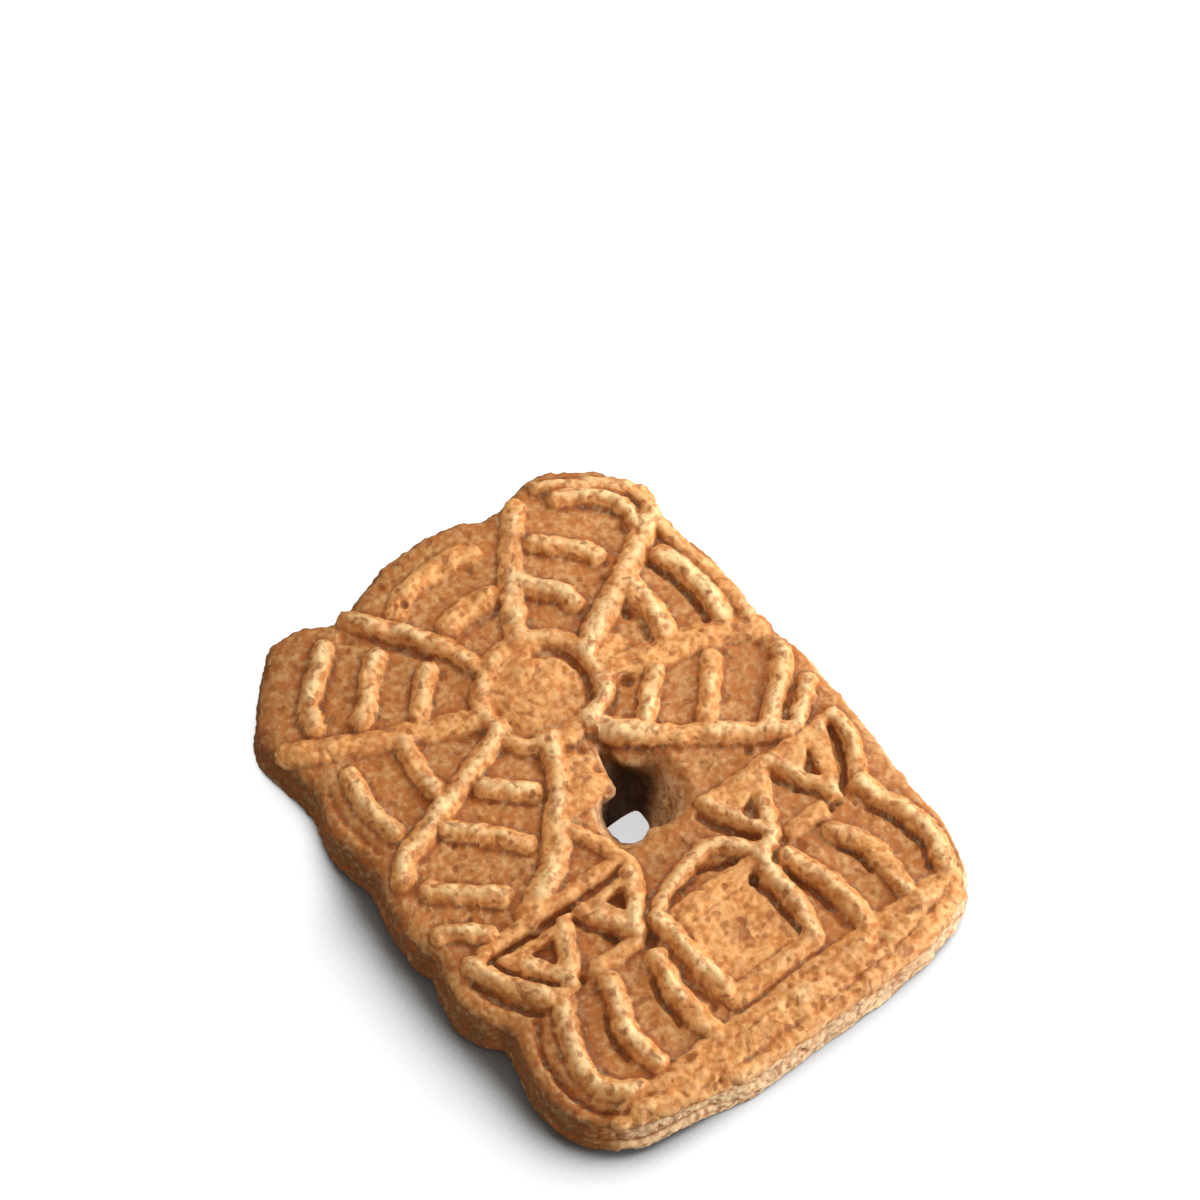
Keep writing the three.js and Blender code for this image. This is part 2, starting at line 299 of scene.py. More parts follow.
@dataclass(frozen=True)
class Plate:
    """A raised patch with straight sides, given by its corners, anticlockwise."""

    corners: tuple[Point, ...]
    height: float
    rise: float = 0.9
    softness: float = 0.35

    def profile(self, places: Array) -> Array:
        """Height times (1 - (1 - t)^2)^0.7, with t the depth inside the sides over the rise.

        The depth is a soft least of the distances to the sides, -s log(sum exp(-d / s)), which
        rounds the corners.
        """
        corner = np.array(self.corners, float)
        run = np.roll(corner, -1, axis=0) - corner
        inward = np.column_stack([-run[:, 1], run[:, 0]]) / np.linalg.norm(run, axis=1)[:, None]
        depth = ((places[:, None, :] - corner) * inward).sum(axis=-1)
        inside = -self.softness * np.log(np.exp(-np.clip(depth, -9.0, 9.0) / self.softness).sum(axis=1))
        share = np.clip(inside / self.rise, 0.0, 1.0)
        return self.height * (1.0 - (1.0 - share) ** 2) ** 0.7


def ridge(*path: Point, width: float = 2.4, height: float = 1.3) -> Stroke:
    """A ridge through a few points."""
    return Stroke(list(path), width, height)


def groove(*path: Point, width: float = 1.6, depth: float = 0.6) -> Stroke:
    """A groove through a few points."""
    return Stroke(list(path), width, depth, Press.GROOVE)


@dataclass(frozen=True)
class Hub:
    """The ring in the middle of the sails and the cushion of dough inside it."""

    x: float = -0.5
    y: float = 0.6
    radius: float = 6.2
    width: float = 2.5
    dome: float = 0.85

    def strokes(self) -> list[Stroke]:
        """The ring, as pressed a little out of round, and the groove inside its right side."""
        ring = [(-6.5, 0.2), (-6.1, -2.2), (-4.8, -4.1), (-2.2, -5.0), (1.4, -5.4),
                (4.2, -4.3), (5.8, -2.2), (6.2, 0.8), (5.5, 3.4), (3.8, 5.2), (1.2, 6.3),
                (-1.4, 6.1), (-3.6, 5.0), (-5.6, 3.2), (-6.4, 1.4), (-6.5, 0.2)]
        return [
            ridge(*ring, width=self.width, height=1.1),
            ridge((1.6, -6.2), (3.4, -4.9), (5.2, -4.1), (6.6, -2.6), width=2.1, height=1.3),
            ridge((6.4, -0.3), (9.2, 0.2), width=3.4, height=0.65),
            groove((2.0, 4.0), (3.6, 3.0), (4.6, 1.4), (4.8, -0.4), (4.4, -2.0), (3.4, -3.6),
                   width=1.7, depth=0.75),
            groove((-5.6, -0.6), (-5.2, -2.4), (-3.8, -3.8), width=0.9, depth=0.25),
        ]

    def dome_height(self, places: Array) -> Array:
        """The cushion: its height times (1 - (distance / radius)^4), 0 beyond the ring."""
        _, distance = polar(places, np.array([self.x, self.y]))
        return self.dome * np.clip(1.0 - (distance / self.radius) ** 4, 0.0, None)


@dataclass(frozen=True)
class Sails:
    """Four sails: two spars each, with bars between them."""

    bar: float = 2.55
    spar: float = 2.7

    def upper_left(self) -> list[Stroke]:
        """The sail towards the broad upper left shoulder."""
        return [
            ridge((-15, 17.8), (-16.5, 16.4), (-19, 14.3), (-20.3, 12.6), (-21, 11), width=self.bar),
            ridge((-11.2, 13.7), (-13.2, 12), (-15.2, 9.8), (-16.7, 8.7), width=self.bar),
            ridge((-7.9, 9.2), (-9.6, 7.6), (-11.6, 5.4), width=self.bar, height=1.2),
            ridge((-6.8, 1.4), (-15, 4.9), (-20, 7.4), (-25.2, 10.2), width=3.0, height=0.95),
            ridge((-3.6, 7), (-4.6, 9.8), (-6, 12), (-7.3, 14.1), (-9, 16.4), (-11, 19.2), width=2.4),
            groove((-7.0, 10.6), (-8.8, 13.2), (-10.6, 15.8), (-12.4, 17.6), width=2.0, depth=0.5),
        ]

    def upper_right(self) -> list[Stroke]:
        """The sail towards the rim, which has the thinnest bars."""
        return [
            ridge((2, 7), (4, 10.3), (5.3, 12.5), (7, 14.8), (9, 17), (10.8, 19), width=2.9),
            ridge((5.8, 12.8), (6.2, 11.1), (7.4, 9.6), (8.7, 8.0), (9.1, 6.3), width=self.bar),
            ridge((10, 14.6), (11.6, 13), (12.7, 11.8), (13.7, 10.5), (14.2, 9.3), width=self.bar),
            ridge((15.2, 17.3), (17, 16.5), (18.8, 14.8), (20, 12.8), (20.2, 11.2), (19.8, 10),
                  width=2.3),
            ridge((6.6, 1.2), (10, 3.1), (15, 5.6), (18, 7.3), (21.5, 9.6), width=3.0),
        ]

    def lower_right(self) -> list[Stroke]:
        """The sail over the right-hand gallery, with a low upper spar."""
        return [
            ridge((5.8, -1.8), (12, -3.5), (16, -4.5), (20, -5.6), (22.5, -7.5), width=3.6, height=0.8),
            ridge((10.6, -5.2), (8.6, -7.1), (6.9, -8.6), width=self.bar),
            ridge((16.5, -7.5), (14.0, -10.2), (11.6, -12.9), width=self.bar),
            ridge((22.8, -11), (21.8, -12.3), (20.5, -13.8), (19, -15), (16.2, -17), width=self.bar),
            ridge((22.5, -15.5), (21, -17), (18.5, -18.8), width=2.2),
            ridge((2, -5.4), (3.7, -8.0), (5.6, -9.7), (7.1, -11.2), (9, -13), (12.5, -15.3),
                  (15, -17), (17.5, -18.7), width=self.spar),
            groove((21.5, -9), (18, -13.5), (15, -16), width=1.8, depth=0.35),
        ]

    def lower_left(self) -> list[Stroke]:
        """The sail over the left-hand gallery, with a broad lower spar."""
        return [
            ridge((-6, -1), (-12, -3), (-16, -4.5), (-20, -5.8), (-22.5, -7), (-24, -8.5),
                  width=self.spar),
            ridge((-11.3, -5), (-9.5, -6.8), (-7.5, -8.5), width=self.bar),
            ridge((-17, -6.5), (-14, -9.7), (-11.5, -12.7), width=self.bar),
            ridge((-22.5, -11), (-19.5, -13.7), (-17, -15.9), width=self.bar),
            ridge((-24.5, -15.5), (-23, -16.3), (-20.5, -18.3), width=2.2),
            ridge((-3, -5), (-4, -8), (-6, -11), (-8, -13), (-10, -15.5), (-13, -17.5), (-16, -19.3),
                  width=3.2),
        ]

    def strokes(self) -> list[Stroke]:
        """Every stroke of the four sails."""
        return self.upper_left() + self.upper_right() + self.lower_right() + self.lower_left()


@dataclass(frozen=True)
class Fields:
    """The curved bars in the fields between the sails, and the rim ridge on the right."""

    bar: float = 2.5
    rim: float = 1.9

    def strokes(self) -> list[Stroke]:
        """The bars of each field, with the broken one at the top, and the rim."""
        return [
            ridge((15.0, 4.6), (15.2, 2), (15.1, 0), (14.6, -2.4), width=2.9),
            ridge((19.8, 5.2), (20.6, 3), (20.9, 0.5), (20.9, -2), (20.6, -4.2), width=2.9),
            groove((18.2, 5.2), (18.9, 2.5), (19.1, 0), (19.0, -3.6), width=1.3, depth=0.5),
            groove((12.6, 2.4), (13.0, 0), (12.8, -2.2), width=1.2, depth=0.3),
            ridge((-15, 4), (-15.5, 0), (-15.4, -2.5), width=self.bar),
            ridge((-21.3, 4.3), (-22, 0), (-21.5, -3.7), width=self.bar),
            ridge((-3.2, 12.0), (-1.5, 12.4), (1, 12.5), (2.6, 12.3), width=3.0, height=1.05),
            ridge((-6.4, 16.6), (-5, 17.7), (-3, 18.2), (0, 18.4), (2.2, 18.3), (3.8, 17.6),
                  width=2.8, height=0.85),
            groove((-2.5, 10.4), (1.2, 10.5), (2.6, 10.9), width=1.4, depth=0.35),
            groove((-24.2, 4), (-24.6, 0), (-24, -4), width=1.4, depth=0.45),
            ridge((14.5, 19.8), (17, 18.2), (20, 16), (22, 13.5), (22.5, 12), (22.0, 9), (22, 7),
                  (22.3, 4), (22.8, 1), (22.8, -3), (22.5, -6), width=self.rim, height=1.15),
        ]

    def dents(self) -> list[Dent]:
        """Places where the broken bars tore, and the pits left of the hole."""
        return [
            Dent(-0.9, -10.3, 0.6, 0.7),
            Dent(-0.9, -7.6, 0.5, 0.35),
            Dent(-5.3, 16.9, 0.5, 0.7),
            Dent(0.4, 18.0, 1.0, 0.45),
            Dent(2.2, 17.2, 0.6, 0.3),
            Dent(0.6, 13.2, 0.5, 0.25),
            Dent(12.8, 2.2, 0.65, 0.7),
            Dent(7.9, -4.1, 0.75, 0.7),
            Dent(17.4, -4.3, 0.35, 0.4),
            Dent(13.3, 6.9, 0.4, 0.4),
            Dent(14.5, 8.0, 0.35, 0.4),
        ]


@dataclass(frozen=True)
class Gallery:
    """Rails on both sides of the hole, their end posts and the hanging triangles."""

    rail: float = 1.0
    triangle: float = 0.95
    leg: float = 1.12
    pit: float = 1.7
    hanging: tuple[tuple[Point, Point, Point], ...] = (
        ((-21.9, -21.0), (-17.2, -28.2), (-12.7, -21.1)),
        ((-12.7, -21.1), (-8.8, -28.0), (-4.5, -21.0)),
        ((4.8, -19.4), (8.6, -28.2), (13.1, -19.8)),
        ((12.9, -19.8), (16.6, -28.2), (20.8, -19.8)),
    )

    def plates(self) -> list[Plate]:
        """The rails, the four filled triangles that hang from them, and what is pressed lower."""
        rails = [
            ((-24.2, -20.6), (-4.6, -20.6), (-4.9, -18.6), (-23.4, -18.6)),
            ((4.9, -21.4), (22.6, -21.4), (22.4, -19.1), (5.2, -19.1)),
            ((-15.4, -28.8), (-8.4, -28.7), (-8.3, -26.6), (-15.2, -26.6)),
            ((9.6, -28.9), (15.3, -29.0), (15.4, -26.7), (9.8, -26.6)),
        ]
        beside_hole = ((-1.2, -6.4), (-3.4, -6.8), (-7.0, -13.2), (-3.4, -13.6), (-0.5, -12.4),
                       (0.1, -9.4))
        between = ((12.2, -20.8), (15.2, -27.4), (9.6, -27.2), (10.2, -25.2))
        return ([Plate(corners, self.triangle, rise=1.3, softness=0.4) for corners in self.hanging]
                + [Plate(corners, self.rail, rise=1.4, softness=0.45) for corners in rails]
                + [Plate(beside_hole, 0.85, rise=1.5), Plate(between, 0.5, rise=1.0)])

    def legs(self) -> list[Stroke]:
        """The round ridge on each leg of the triangles, a little inside its edge."""
        corners = np.array(self.hanging)
        inner = corners + 0.2 * (corners.mean(axis=1, keepdims=True) - corners)
        pairs = [(three[start], three[start + 1]) for three in inner for start in (0, 1)]
        return [ridge(tuple(first), tuple(last), width=2.2, height=self.leg) for first, last in pairs]

    def pits(self) -> list[Plate]:
        """The three-cornered pits in the triangles, as depths."""
        corners = [
            ((-19.0, -22.2), (-17.2, -25.4), (-15.4, -22.3)),
            ((-9.7, -22.4), (-8.1, -25.2), (-6.4, -22.4)),
            ((7.2, -23.2), (8.8, -25.3), (10.1, -21.7)),
            ((15.3, -23.4), (16.8, -25.3), (18.2, -21.3)),
        ]
        return [Plate(three, self.pit, rise=1.0, softness=0.3) for three in corners]

    def left(self) -> list[Stroke]:
        """The left-hand side, with a deep groove under its rail."""
        return [
            groove((-22.6, -20.7), (-18, -20.6), (-13.6, -20.6), width=1.1, depth=0.8),
            groove((-13.4, -20.8), (-12.0, -20.9), width=1.2, depth=0.9),
            groove((-11.8, -20.8), (-6.6, -20.7), width=0.9, depth=0.4),
            groove((-13.0, -21.8), (-12.0, -24.0), (-10.8, -26.0), width=1.1, depth=0.6),
            ridge((-23.8, -20.0), (-22.9, -22.4), (-21.4, -25), (-19.6, -27.4), width=2.6),
            groove((-25.0, -21.5), (-24.0, -24.5), (-21.6, -28.0), width=1.4, depth=0.9),
            groove((-21.9, -21.4), (-20.6, -24.0), (-18.4, -26.8), width=0.9, depth=0.6),
            ridge((-7.4, -13.8), (-6.2, -16), (-5.2, -18.6), (-4.7, -20.3), (-5.2, -22.2),
                  (-6.6, -24.5), (-8, -26), width=1.9, height=1.1),
        ]

    def right(self) -> list[Stroke]:
        """The right-hand side, which runs down into the arch."""
        return [
            ridge((22.2, -20.2), (22.2, -22), (21.7, -24.2), (20.4, -26.4), (19.4, -28), width=2.3),
            groove((20.9, -21.3), (20.6, -23.4), (19.4, -25.5), (17.5, -27.4), width=1.2, depth=0.85),
            groove((4.2, -20.6), (4.9, -22.6), (5.8, -24.4), (7.4, -26.0), width=1.4, depth=0.7),
            groove((12.6, -22.0), (13.9, -24.0), (15.4, -26.4), width=1.0, depth=0.4),
            ridge((8.6, -26.6), (7.8, -27.6), width=2.2, height=1.1),
        ]

    def strokes(self) -> list[Stroke]:
        """Both sides and the triangles' legs."""
        return self.left() + self.right() + self.legs()

    def dents(self) -> list[Dent]:
        """The small pits beside the rails."""
        return [
            Dent(-11.0, -25.7, 0.85, 0.6),
            Dent(12.9, -17.9, 0.6, 0.45),
            Dent(11.0, -18.0, 0.7, 0.25),
            Dent(14, -24.3, 0.5, 0.35),
            Dent(-16.2, -27.6, 0.5, 0.9),
            Dent(-8.0, -28.5, 0.75, 0.9),
            Dent(15.5, -28.2, 0.4, 0.6),
            Dent(16.4, -28.0, 0.4, 0.5),
            Dent(7.2, -29.1, 0.4, 0.5),
            Dent(10.4, -29.6, 0.5, 0.35),
        ]


@dataclass(frozen=True)
class Staves:
    """Three bowed staves on each side of the door."""

    width: float = 2.6
    foot: float = 1.65

    def strokes(self) -> list[Stroke]:
        """The six staves, from left to right, each with a shallow groove on its left."""
        paths = [
            [(-18.6, -27.9), (-20.2, -30.2), (-21.3, -33), (-21.9, -35.2), (-21.6, -37.4),
             (-20.4, -39.2), (-18.8, -40.3)],
            [(-14, -29.4), (-15, -32.4), (-16, -34.8), (-15.9, -37), (-15.6, -39.2)],
            [(-8.9, -30.3), (-9.1, -32), (-9.6, -34), (-9.5, -37), (-9.2, -40)],
            [(8.5, -29.8), (9.2, -31.6), (9.9, -34), (10.4, -37), (10.2, -40)],
            [(14, -30.5), (15, -32), (15.8, -34), (15.9, -36), (15.6, -39.6)],
            [(19.8, -28.5), (20.2, -30.5), (21, -32.5), (21.5, -34.5), (21.5, -37), (21, -39),
             (20, -41)],
        ]
        beside = [[(x - self.foot, y) for x, y in path[1:-1]] for path in paths[1:]]
        outside = [(-22.4, -28.6), (-23.7, -31), (-24.4, -34), (-24.3, -37), (-23.3, -39.6),
                   (-21.2, -41.3)]
        return ([ridge(*path, width=self.width) for path in paths]
                + [groove(*path, width=1.0, depth=0.6) for path in beside]
                + [groove(*outside, width=1.2, depth=0.8)])


@dataclass(frozen=True)
class Door:
    """The door under its arch: posts, step, lintel panel and leaf."""

    post: float = 2.7

    def strokes(self) -> list[Stroke]:
        """Arch, posts and step, with the grooves beside them."""
        return [
            ridge((-6.4, -27.2), (-5.2, -26.3), (-3.4, -25.3), (-1.2, -24.6), (1, -24.1), (2.6, -24.0),
                  (3.9, -24.7), (5.2, -26.0), (6.4, -27.1), (7.8, -27.7), width=2.2, height=1.2),
            ridge((-6, -27.6), (-5.9, -30), (-5.8, -34.5), (-5.5, -37.6), width=self.post),
            ridge((6.4, -27.8), (6.1, -30), (6.0, -33.6), (5.6, -36.4), (4.9, -38.2), width=2.6),
            ridge((-5.2, -38.3), (0, -38.5), (4.9, -38.2), width=2.8, height=1.0),
            groove((0.3, -25.1), (1.6, -25.9), (3.9, -26.9), width=1.2, depth=1.0),
            groove((-3.8, -26.6), (-1.6, -26.0), (0.4, -25.6), width=1.3, depth=0.35),
            groove((4.3, -29.0), (4.4, -36.6), width=1.2, depth=0.5),
            groove((7.6, -30.8), (7.9, -34), (8.3, -38.8), width=1.5, depth=0.45),
            groove((-8.1, -31), (-8.0, -34), (-7.4, -38), width=1.2, depth=0.35),
        ]

    def plates(self) -> list[Plate]:
        """The lintel and, a little lower, the leaf."""
        return [
            Plate(((-5.2, -29.8), (6.2, -29.6), (6.4, -27.0), (-5.2, -27.0)), 0.85, rise=0.8),
            Plate(((-5.4, -37.6), (4.1, -37.6), (3.9, -29.2), (-5.4, -29.2)), 0.5, rise=0.9),
        ]

    def dents(self) -> list[Dent]:
        """The pit in the upper right corner of the leaf."""
        return [Dent(4.2, -29.5, 0.55, 0.9)]


@dataclass(frozen=True)
class Sill:
    """The broad torn sill that closes the foot of the biscuit."""

    height: float = 0.95
    tear: float = 0.13

    def plates(self) -> list[Plate]:
        """The sill's flat mass, which runs out over the shoulder."""
        corners = ((-24.5, -42.3), (-14, -48), (14, -48), (20.8, -43.4), (20.2, -39.8), (-21.4, -39.8))
        return [Plate(corners, self.height, rise=1.6)]

    def strokes(self) -> list[Stroke]:
        """The fissure that opens along its front."""
        return [
            groove((-26.2, -41.2), (-23.4, -42.6), (-21.0, -43.1), width=0.8, depth=0.6),
            groove((-21.6, -43.0), (-16, -43.4), (-12, -43.9), width=0.7, depth=0.3),
            groove((-12, -43.9), (-4, -44.2), (6, -44.2), (13, -43.5), (18, -42.4), (21.5, -40.6),
                   width=0.7, depth=0.3),
        ]

    def torn(self, places: Array) -> Array:
        """Wrinkles that run along the sill: noise stretched along x, below the staves' feet."""
        stretched = at_height(places * [0.4, 1.0])
        wrinkles = soft_noise(stretched, 0.6, 17) + 0.8 * soft_noise(stretched, 0.35, 18)
        return self.tear * wrinkles * ease(-places[:, 1], 39.6, 40.8)


@dataclass(frozen=True)
class Pattern:
    """Everything that the mould pressed into the face."""

    hub: Hub = Hub()
    sails: Sails = Sails()
    fields: Fields = Fields()
    gallery: Gallery = Gallery()
    staves: Staves = Staves()
    door: Door = Door()
    sill: Sill = Sill()
    joining: float = 5.0
    wobble: float = 0.16
    ragged: float = 0.17
    wear: float = 0.2

    def strokes(self) -> list[Stroke]:
        """Every ridge and groove."""
        owners = (self.hub, self.sails, self.fields, self.gallery, self.staves, self.door, self.sill)
        return [stroke for owner in owners for stroke in owner.strokes()]

    def relief(self, places: Array) -> Array:
        """Height of the pattern over the ground at each place.

        The raised parts join by (sum h^n)^(1/n), so that crossing ridges run into each other.
        The places are first pushed about by soft noise, which makes the ridges a little crooked,
        and worn heights follow another noise. Grooves and dents are taken off at the end.

        Args:
            places: One row of x, y for each place.

        Returns:
            One height for each place, below 0 in grooves.
        """
        flat = at_height(places)
        slow = np.column_stack([soft_noise(flat, 2.6, 11), soft_noise(flat, 2.6, 12)])
        quick = np.column_stack([soft_noise(flat, 0.9, 15), soft_noise(flat, 0.9, 16)])
        pushed = places + self.wobble * slow + self.ragged * quick
        raised = [self.hub.dome_height(pushed)]
        plates = self.gallery.plates() + self.door.plates() + self.sill.plates()
        pits = self.gallery.pits() + self.gallery.dents() + self.fields.dents() + self.door.dents()
        raised += [plate.profile(pushed) for plate in plates]
        sunk = [pit.profile(pushed) for pit in pits]
        for stroke in self.strokes():
            (raised if stroke.press is Press.RIDGE else sunk).append(stroke.profile(pushed))
        worn = 1.0 + self.wear * soft_noise(flat, 3.2, 13) + 0.8 * self.wear * soft_noise(flat, 1.3, 14)
        height = sum(part**self.joining for part in raised) ** (1.0 / self.joining)
        return height * worn - sum(sunk) + self.sill.torn(places)


# ---- The slab --------------------------------------------------------------------------------


@dataclass(frozen=True)
class Section:
    """The slab's section at its edge, in millimetres: shoulder, wall and foot."""

    drop: float = 2.5
    roundness: float = 2.3
    lean: float = 0.35
    lean_from: float = 1.6
    foot: float = 0.7
    foot_inset: float = 0.45
    underside_inset: float = 0.75

    def wall_inset(self, height: Array) -> Array:
        """How far the wall stands in at a height: it leans in towards the top and at the foot."""
        return (self.lean * ease(height, self.lean_from, self.lean_from + 3.0)
                + self.foot_inset * np.clip(1.0 - height / self.foot, 0.0, None) ** 2)

    def shoulder_height(self, inset: Array, width: Array) -> Array:
        """Fall below the ground at an inset: drop (1 - (1 - ((w - i) / w)^p)^(1 / p))."""
        share = np.clip((width - inset) / width, 0.0, 1.0)
        return -self.drop * (1.0 - (1.0 - share**self.roundness) ** (1.0 / self.roundness))

    def shoulder_turn(self, turn: Array, width: Array) -> tuple[Array, Array]:
        """Inset and fall of the shoulder at a turn from 0, level ground, to 1, the upright wall."""
        angle = turn * np.pi / 2.0
        inset = width * (1.0 - np.sin(angle) ** (2.0 / self.roundness))
        fall = -self.drop * (1.0 - np.cos(angle) ** (2.0 / self.roundness))
        return inset, fall


@dataclass(frozen=True)
class Lattice:
    """A square lattice over the face, with a block of cells left out for the hole.

    A node's level is its distance from the lattice's middle, 0 to 1 at the edge, and its share
    is how far round the edge it lies. Level and share give its place on the biscuit.
    """

    across: int = 220
    along: int = 296
    hole_low: tuple[int, int] = (96, 112)
    hole_high: tuple[int, int] = (136, 156)

    def node(self, i: Array, j: Array) -> Array:
        """Number of the node in column i and row j."""
        return j * (self.across + 1) + i

    def levels_and_shares(self) -> tuple[Array, Array]:
        """Level and share of every node, as flat arrays."""
        j, i = np.mgrid[0:self.along + 1, 0:self.across + 1]
        a = (2.0 * i / self.across - 1.0).ravel()
        b = (2.0 * j / self.along - 1.0).ravel()
        level = np.maximum(np.abs(a), np.abs(b))
        u, v = a / np.maximum(level, 1e-9), b / np.maximum(level, 1e-9)
        side, end = self.along / 2.0, self.across / 2.0
        on_right, on_top, on_left = u > 1.0 - 1e-6, v > 1.0 - 1e-6, u < -1.0 + 1e-6
        place = np.select(
            [on_right, on_top, on_left],
            [side * v, side + end * (1.0 - u), side + 2 * end + side * (1.0 - v)],
            3 * side + 2 * end + end * (1.0 + u),
        )
        return level, place / (4.0 * (side + end))

    def ring(self, low: tuple[int, int], high: tuple[int, int], step: int = 1) -> Array:
        """Nodes round a block, anticlockwise from its lower right corner."""
        (i0, j0), (i1, j1) = low, high
        right, left = np.arange(j0, j1, step), np.arange(j1, j0, -step)
        top, bottom = np.arange(i1, i0, -step), np.arange(i0, i1, step)
        i = np.concatenate([np.full(len(right), i1), top, np.full(len(left), i0), bottom])
        j = np.concatenate([right, np.full(len(top), j1), left, np.full(len(bottom), j0)])
        return self.node(i, j)

    def edge_ring(self, step: int = 1) -> Array:
        """Nodes round the outside."""
        return self.ring((0, 0), (self.across, self.along), step)

    def hole_ring(self, step: int = 1) -> Array:
        """Nodes round the hole's block."""
        return self.ring(self.hole_low, self.hole_high, step)

    def cells(self, step: int = 1) -> Array:
        """Corners of the cells outside the hole's block, anticlockwise."""
        j, i = np.mgrid[0:self.along:step, 0:self.across:step]
        i, j = i.ravel(), j.ravel()
        inside = ((i >= self.hole_low[0]) & (i < self.hole_high[0])
                  & (j >= self.hole_low[1]) & (j < self.hole_high[1]))
        i, j = i[~inside], j[~inside]
        return np.column_stack([self.node(i, j), self.node(i + step, j),
                                self.node(i + step, j + step), self.node(i, j + step)])


def drawn_to_rim(places: Array, ring: Array, rim: Outline, reach: float = 5.0) -> Array:
    """Moves a lattice so that its inner ring lies on the hole's rim.

    Each place moves along its ray from the rim's middle by (rim - ring) exp(-d / reach), where
    d is how far beyond the ring it lies on that ray.

    Args:
        places: One row of x, y for each node.
        ring: The nodes of the inner ring.
        rim: The outline that they are to lie on.
        reach: How quickly the move dies away, in millimetres.

    Returns:
        The moved places.
    """
    angle, distance = polar(places, rim.middle)
    distance = np.maximum(distance, 1e-6)
    start = np.interp(angle, angle[ring], distance[ring], period=2.0 * np.pi)
    beyond = np.clip(distance - start, 0.0, None)
    move = (rim.reach(angle) - start) * np.exp(-beyond / reach)
    return rim.middle + (places - rim.middle) * ((distance + move) / distance)[:, None]


@dataclass(frozen=True)
class Crack:
    """A crack along the outer wall between two angles, with the lip that it leaves below it."""

    start: float
    end: float
    height: float
    wander: float = 0.45
    depth: float = 0.45
    width: float = 0.35
    lip: float = 0.2
    fade: float = 8.0
    seed: int = 31

    def profile(self, degrees: Array, points: Array) -> Array:
        """Push along the wall's normal: -depth exp(-(dz / width)^2) + lip below the crack."""
        begun = ease(degrees, self.start, self.start + self.fade)
        span = begun * ease(-degrees, -self.end, self.fade - self.end)
        line = self.height + self.wander * soft_noise(points * [1.0, 1.0, 0.0], 6.0, self.seed)
        above = points[:, 2] - line
        below = self.lip * ease(-above, 0.0, 0.3) * ease(above, -2.2, -0.4)
        return span * (below - self.depth * np.exp(-((above / self.width) ** 2)))


@dataclass(frozen=True)
class Lump:
    """A lump or hollow of crumb at one place, which stands out along the surface's normal."""

    x: float
    y: float
    z: float
    radius: float
    swell: float

    def profile(self, points: Array) -> Array:
        """Swell times exp(-(distance / radius)^2)."""
        away = points - np.array([self.x, self.y, self.z])
        return self.swell * np.exp(-(away**2).sum(axis=1) / self.radius**2)


@dataclass(frozen=True)
class CrumbTexture:
    """How coarse the baked surface is: waves, lumps, grains and pits, in millimetres."""

    wave: float = 0.14
    lump: float = 0.1
    grain: float = 0.12
    grain_size: float = 0.85
    tooth: float = 0.06
    pit: float = 0.32
    pit_size: float = 2.2
    pit_share: float = 0.34

    def profile(self, points: Array) -> Array:
        """Push along the normal: slow noise, lumps, rounded grains, fine tooth and torn pits.

        A grain stands 1 - 1.6 d^2 times its height, with d the distance to its centre in cells.
        Pits lie at the centres of large cells, only in those whose random number is low. The
        places are pushed about first, so that neither grains nor pits come out round.
        """
        push = np.column_stack([soft_noise(points, 0.8, seed) for seed in (26, 27, 28)])
        torn = points + 0.3 * push
        distance, own = grains(torn, self.grain_size, 21)
        away, number = grains(torn, self.pit_size, 22)
        radius = 0.17 * (0.5 + number / self.pit_share)
        pits = np.where(number < self.pit_share, np.exp(-((away / radius) ** 3)), 0.0)
        return (self.wave * soft_noise(points, 9.0, 23)
                + self.lump * (soft_noise(points, 2.2, 24) + 0.8 * soft_noise(points, 1.2, 25))
                + self.grain * (0.4 - 1.6 * distance**2) * (0.5 + own)
                + self.tooth * soft_noise(points, 0.55, 29)
                - self.pit * pits)


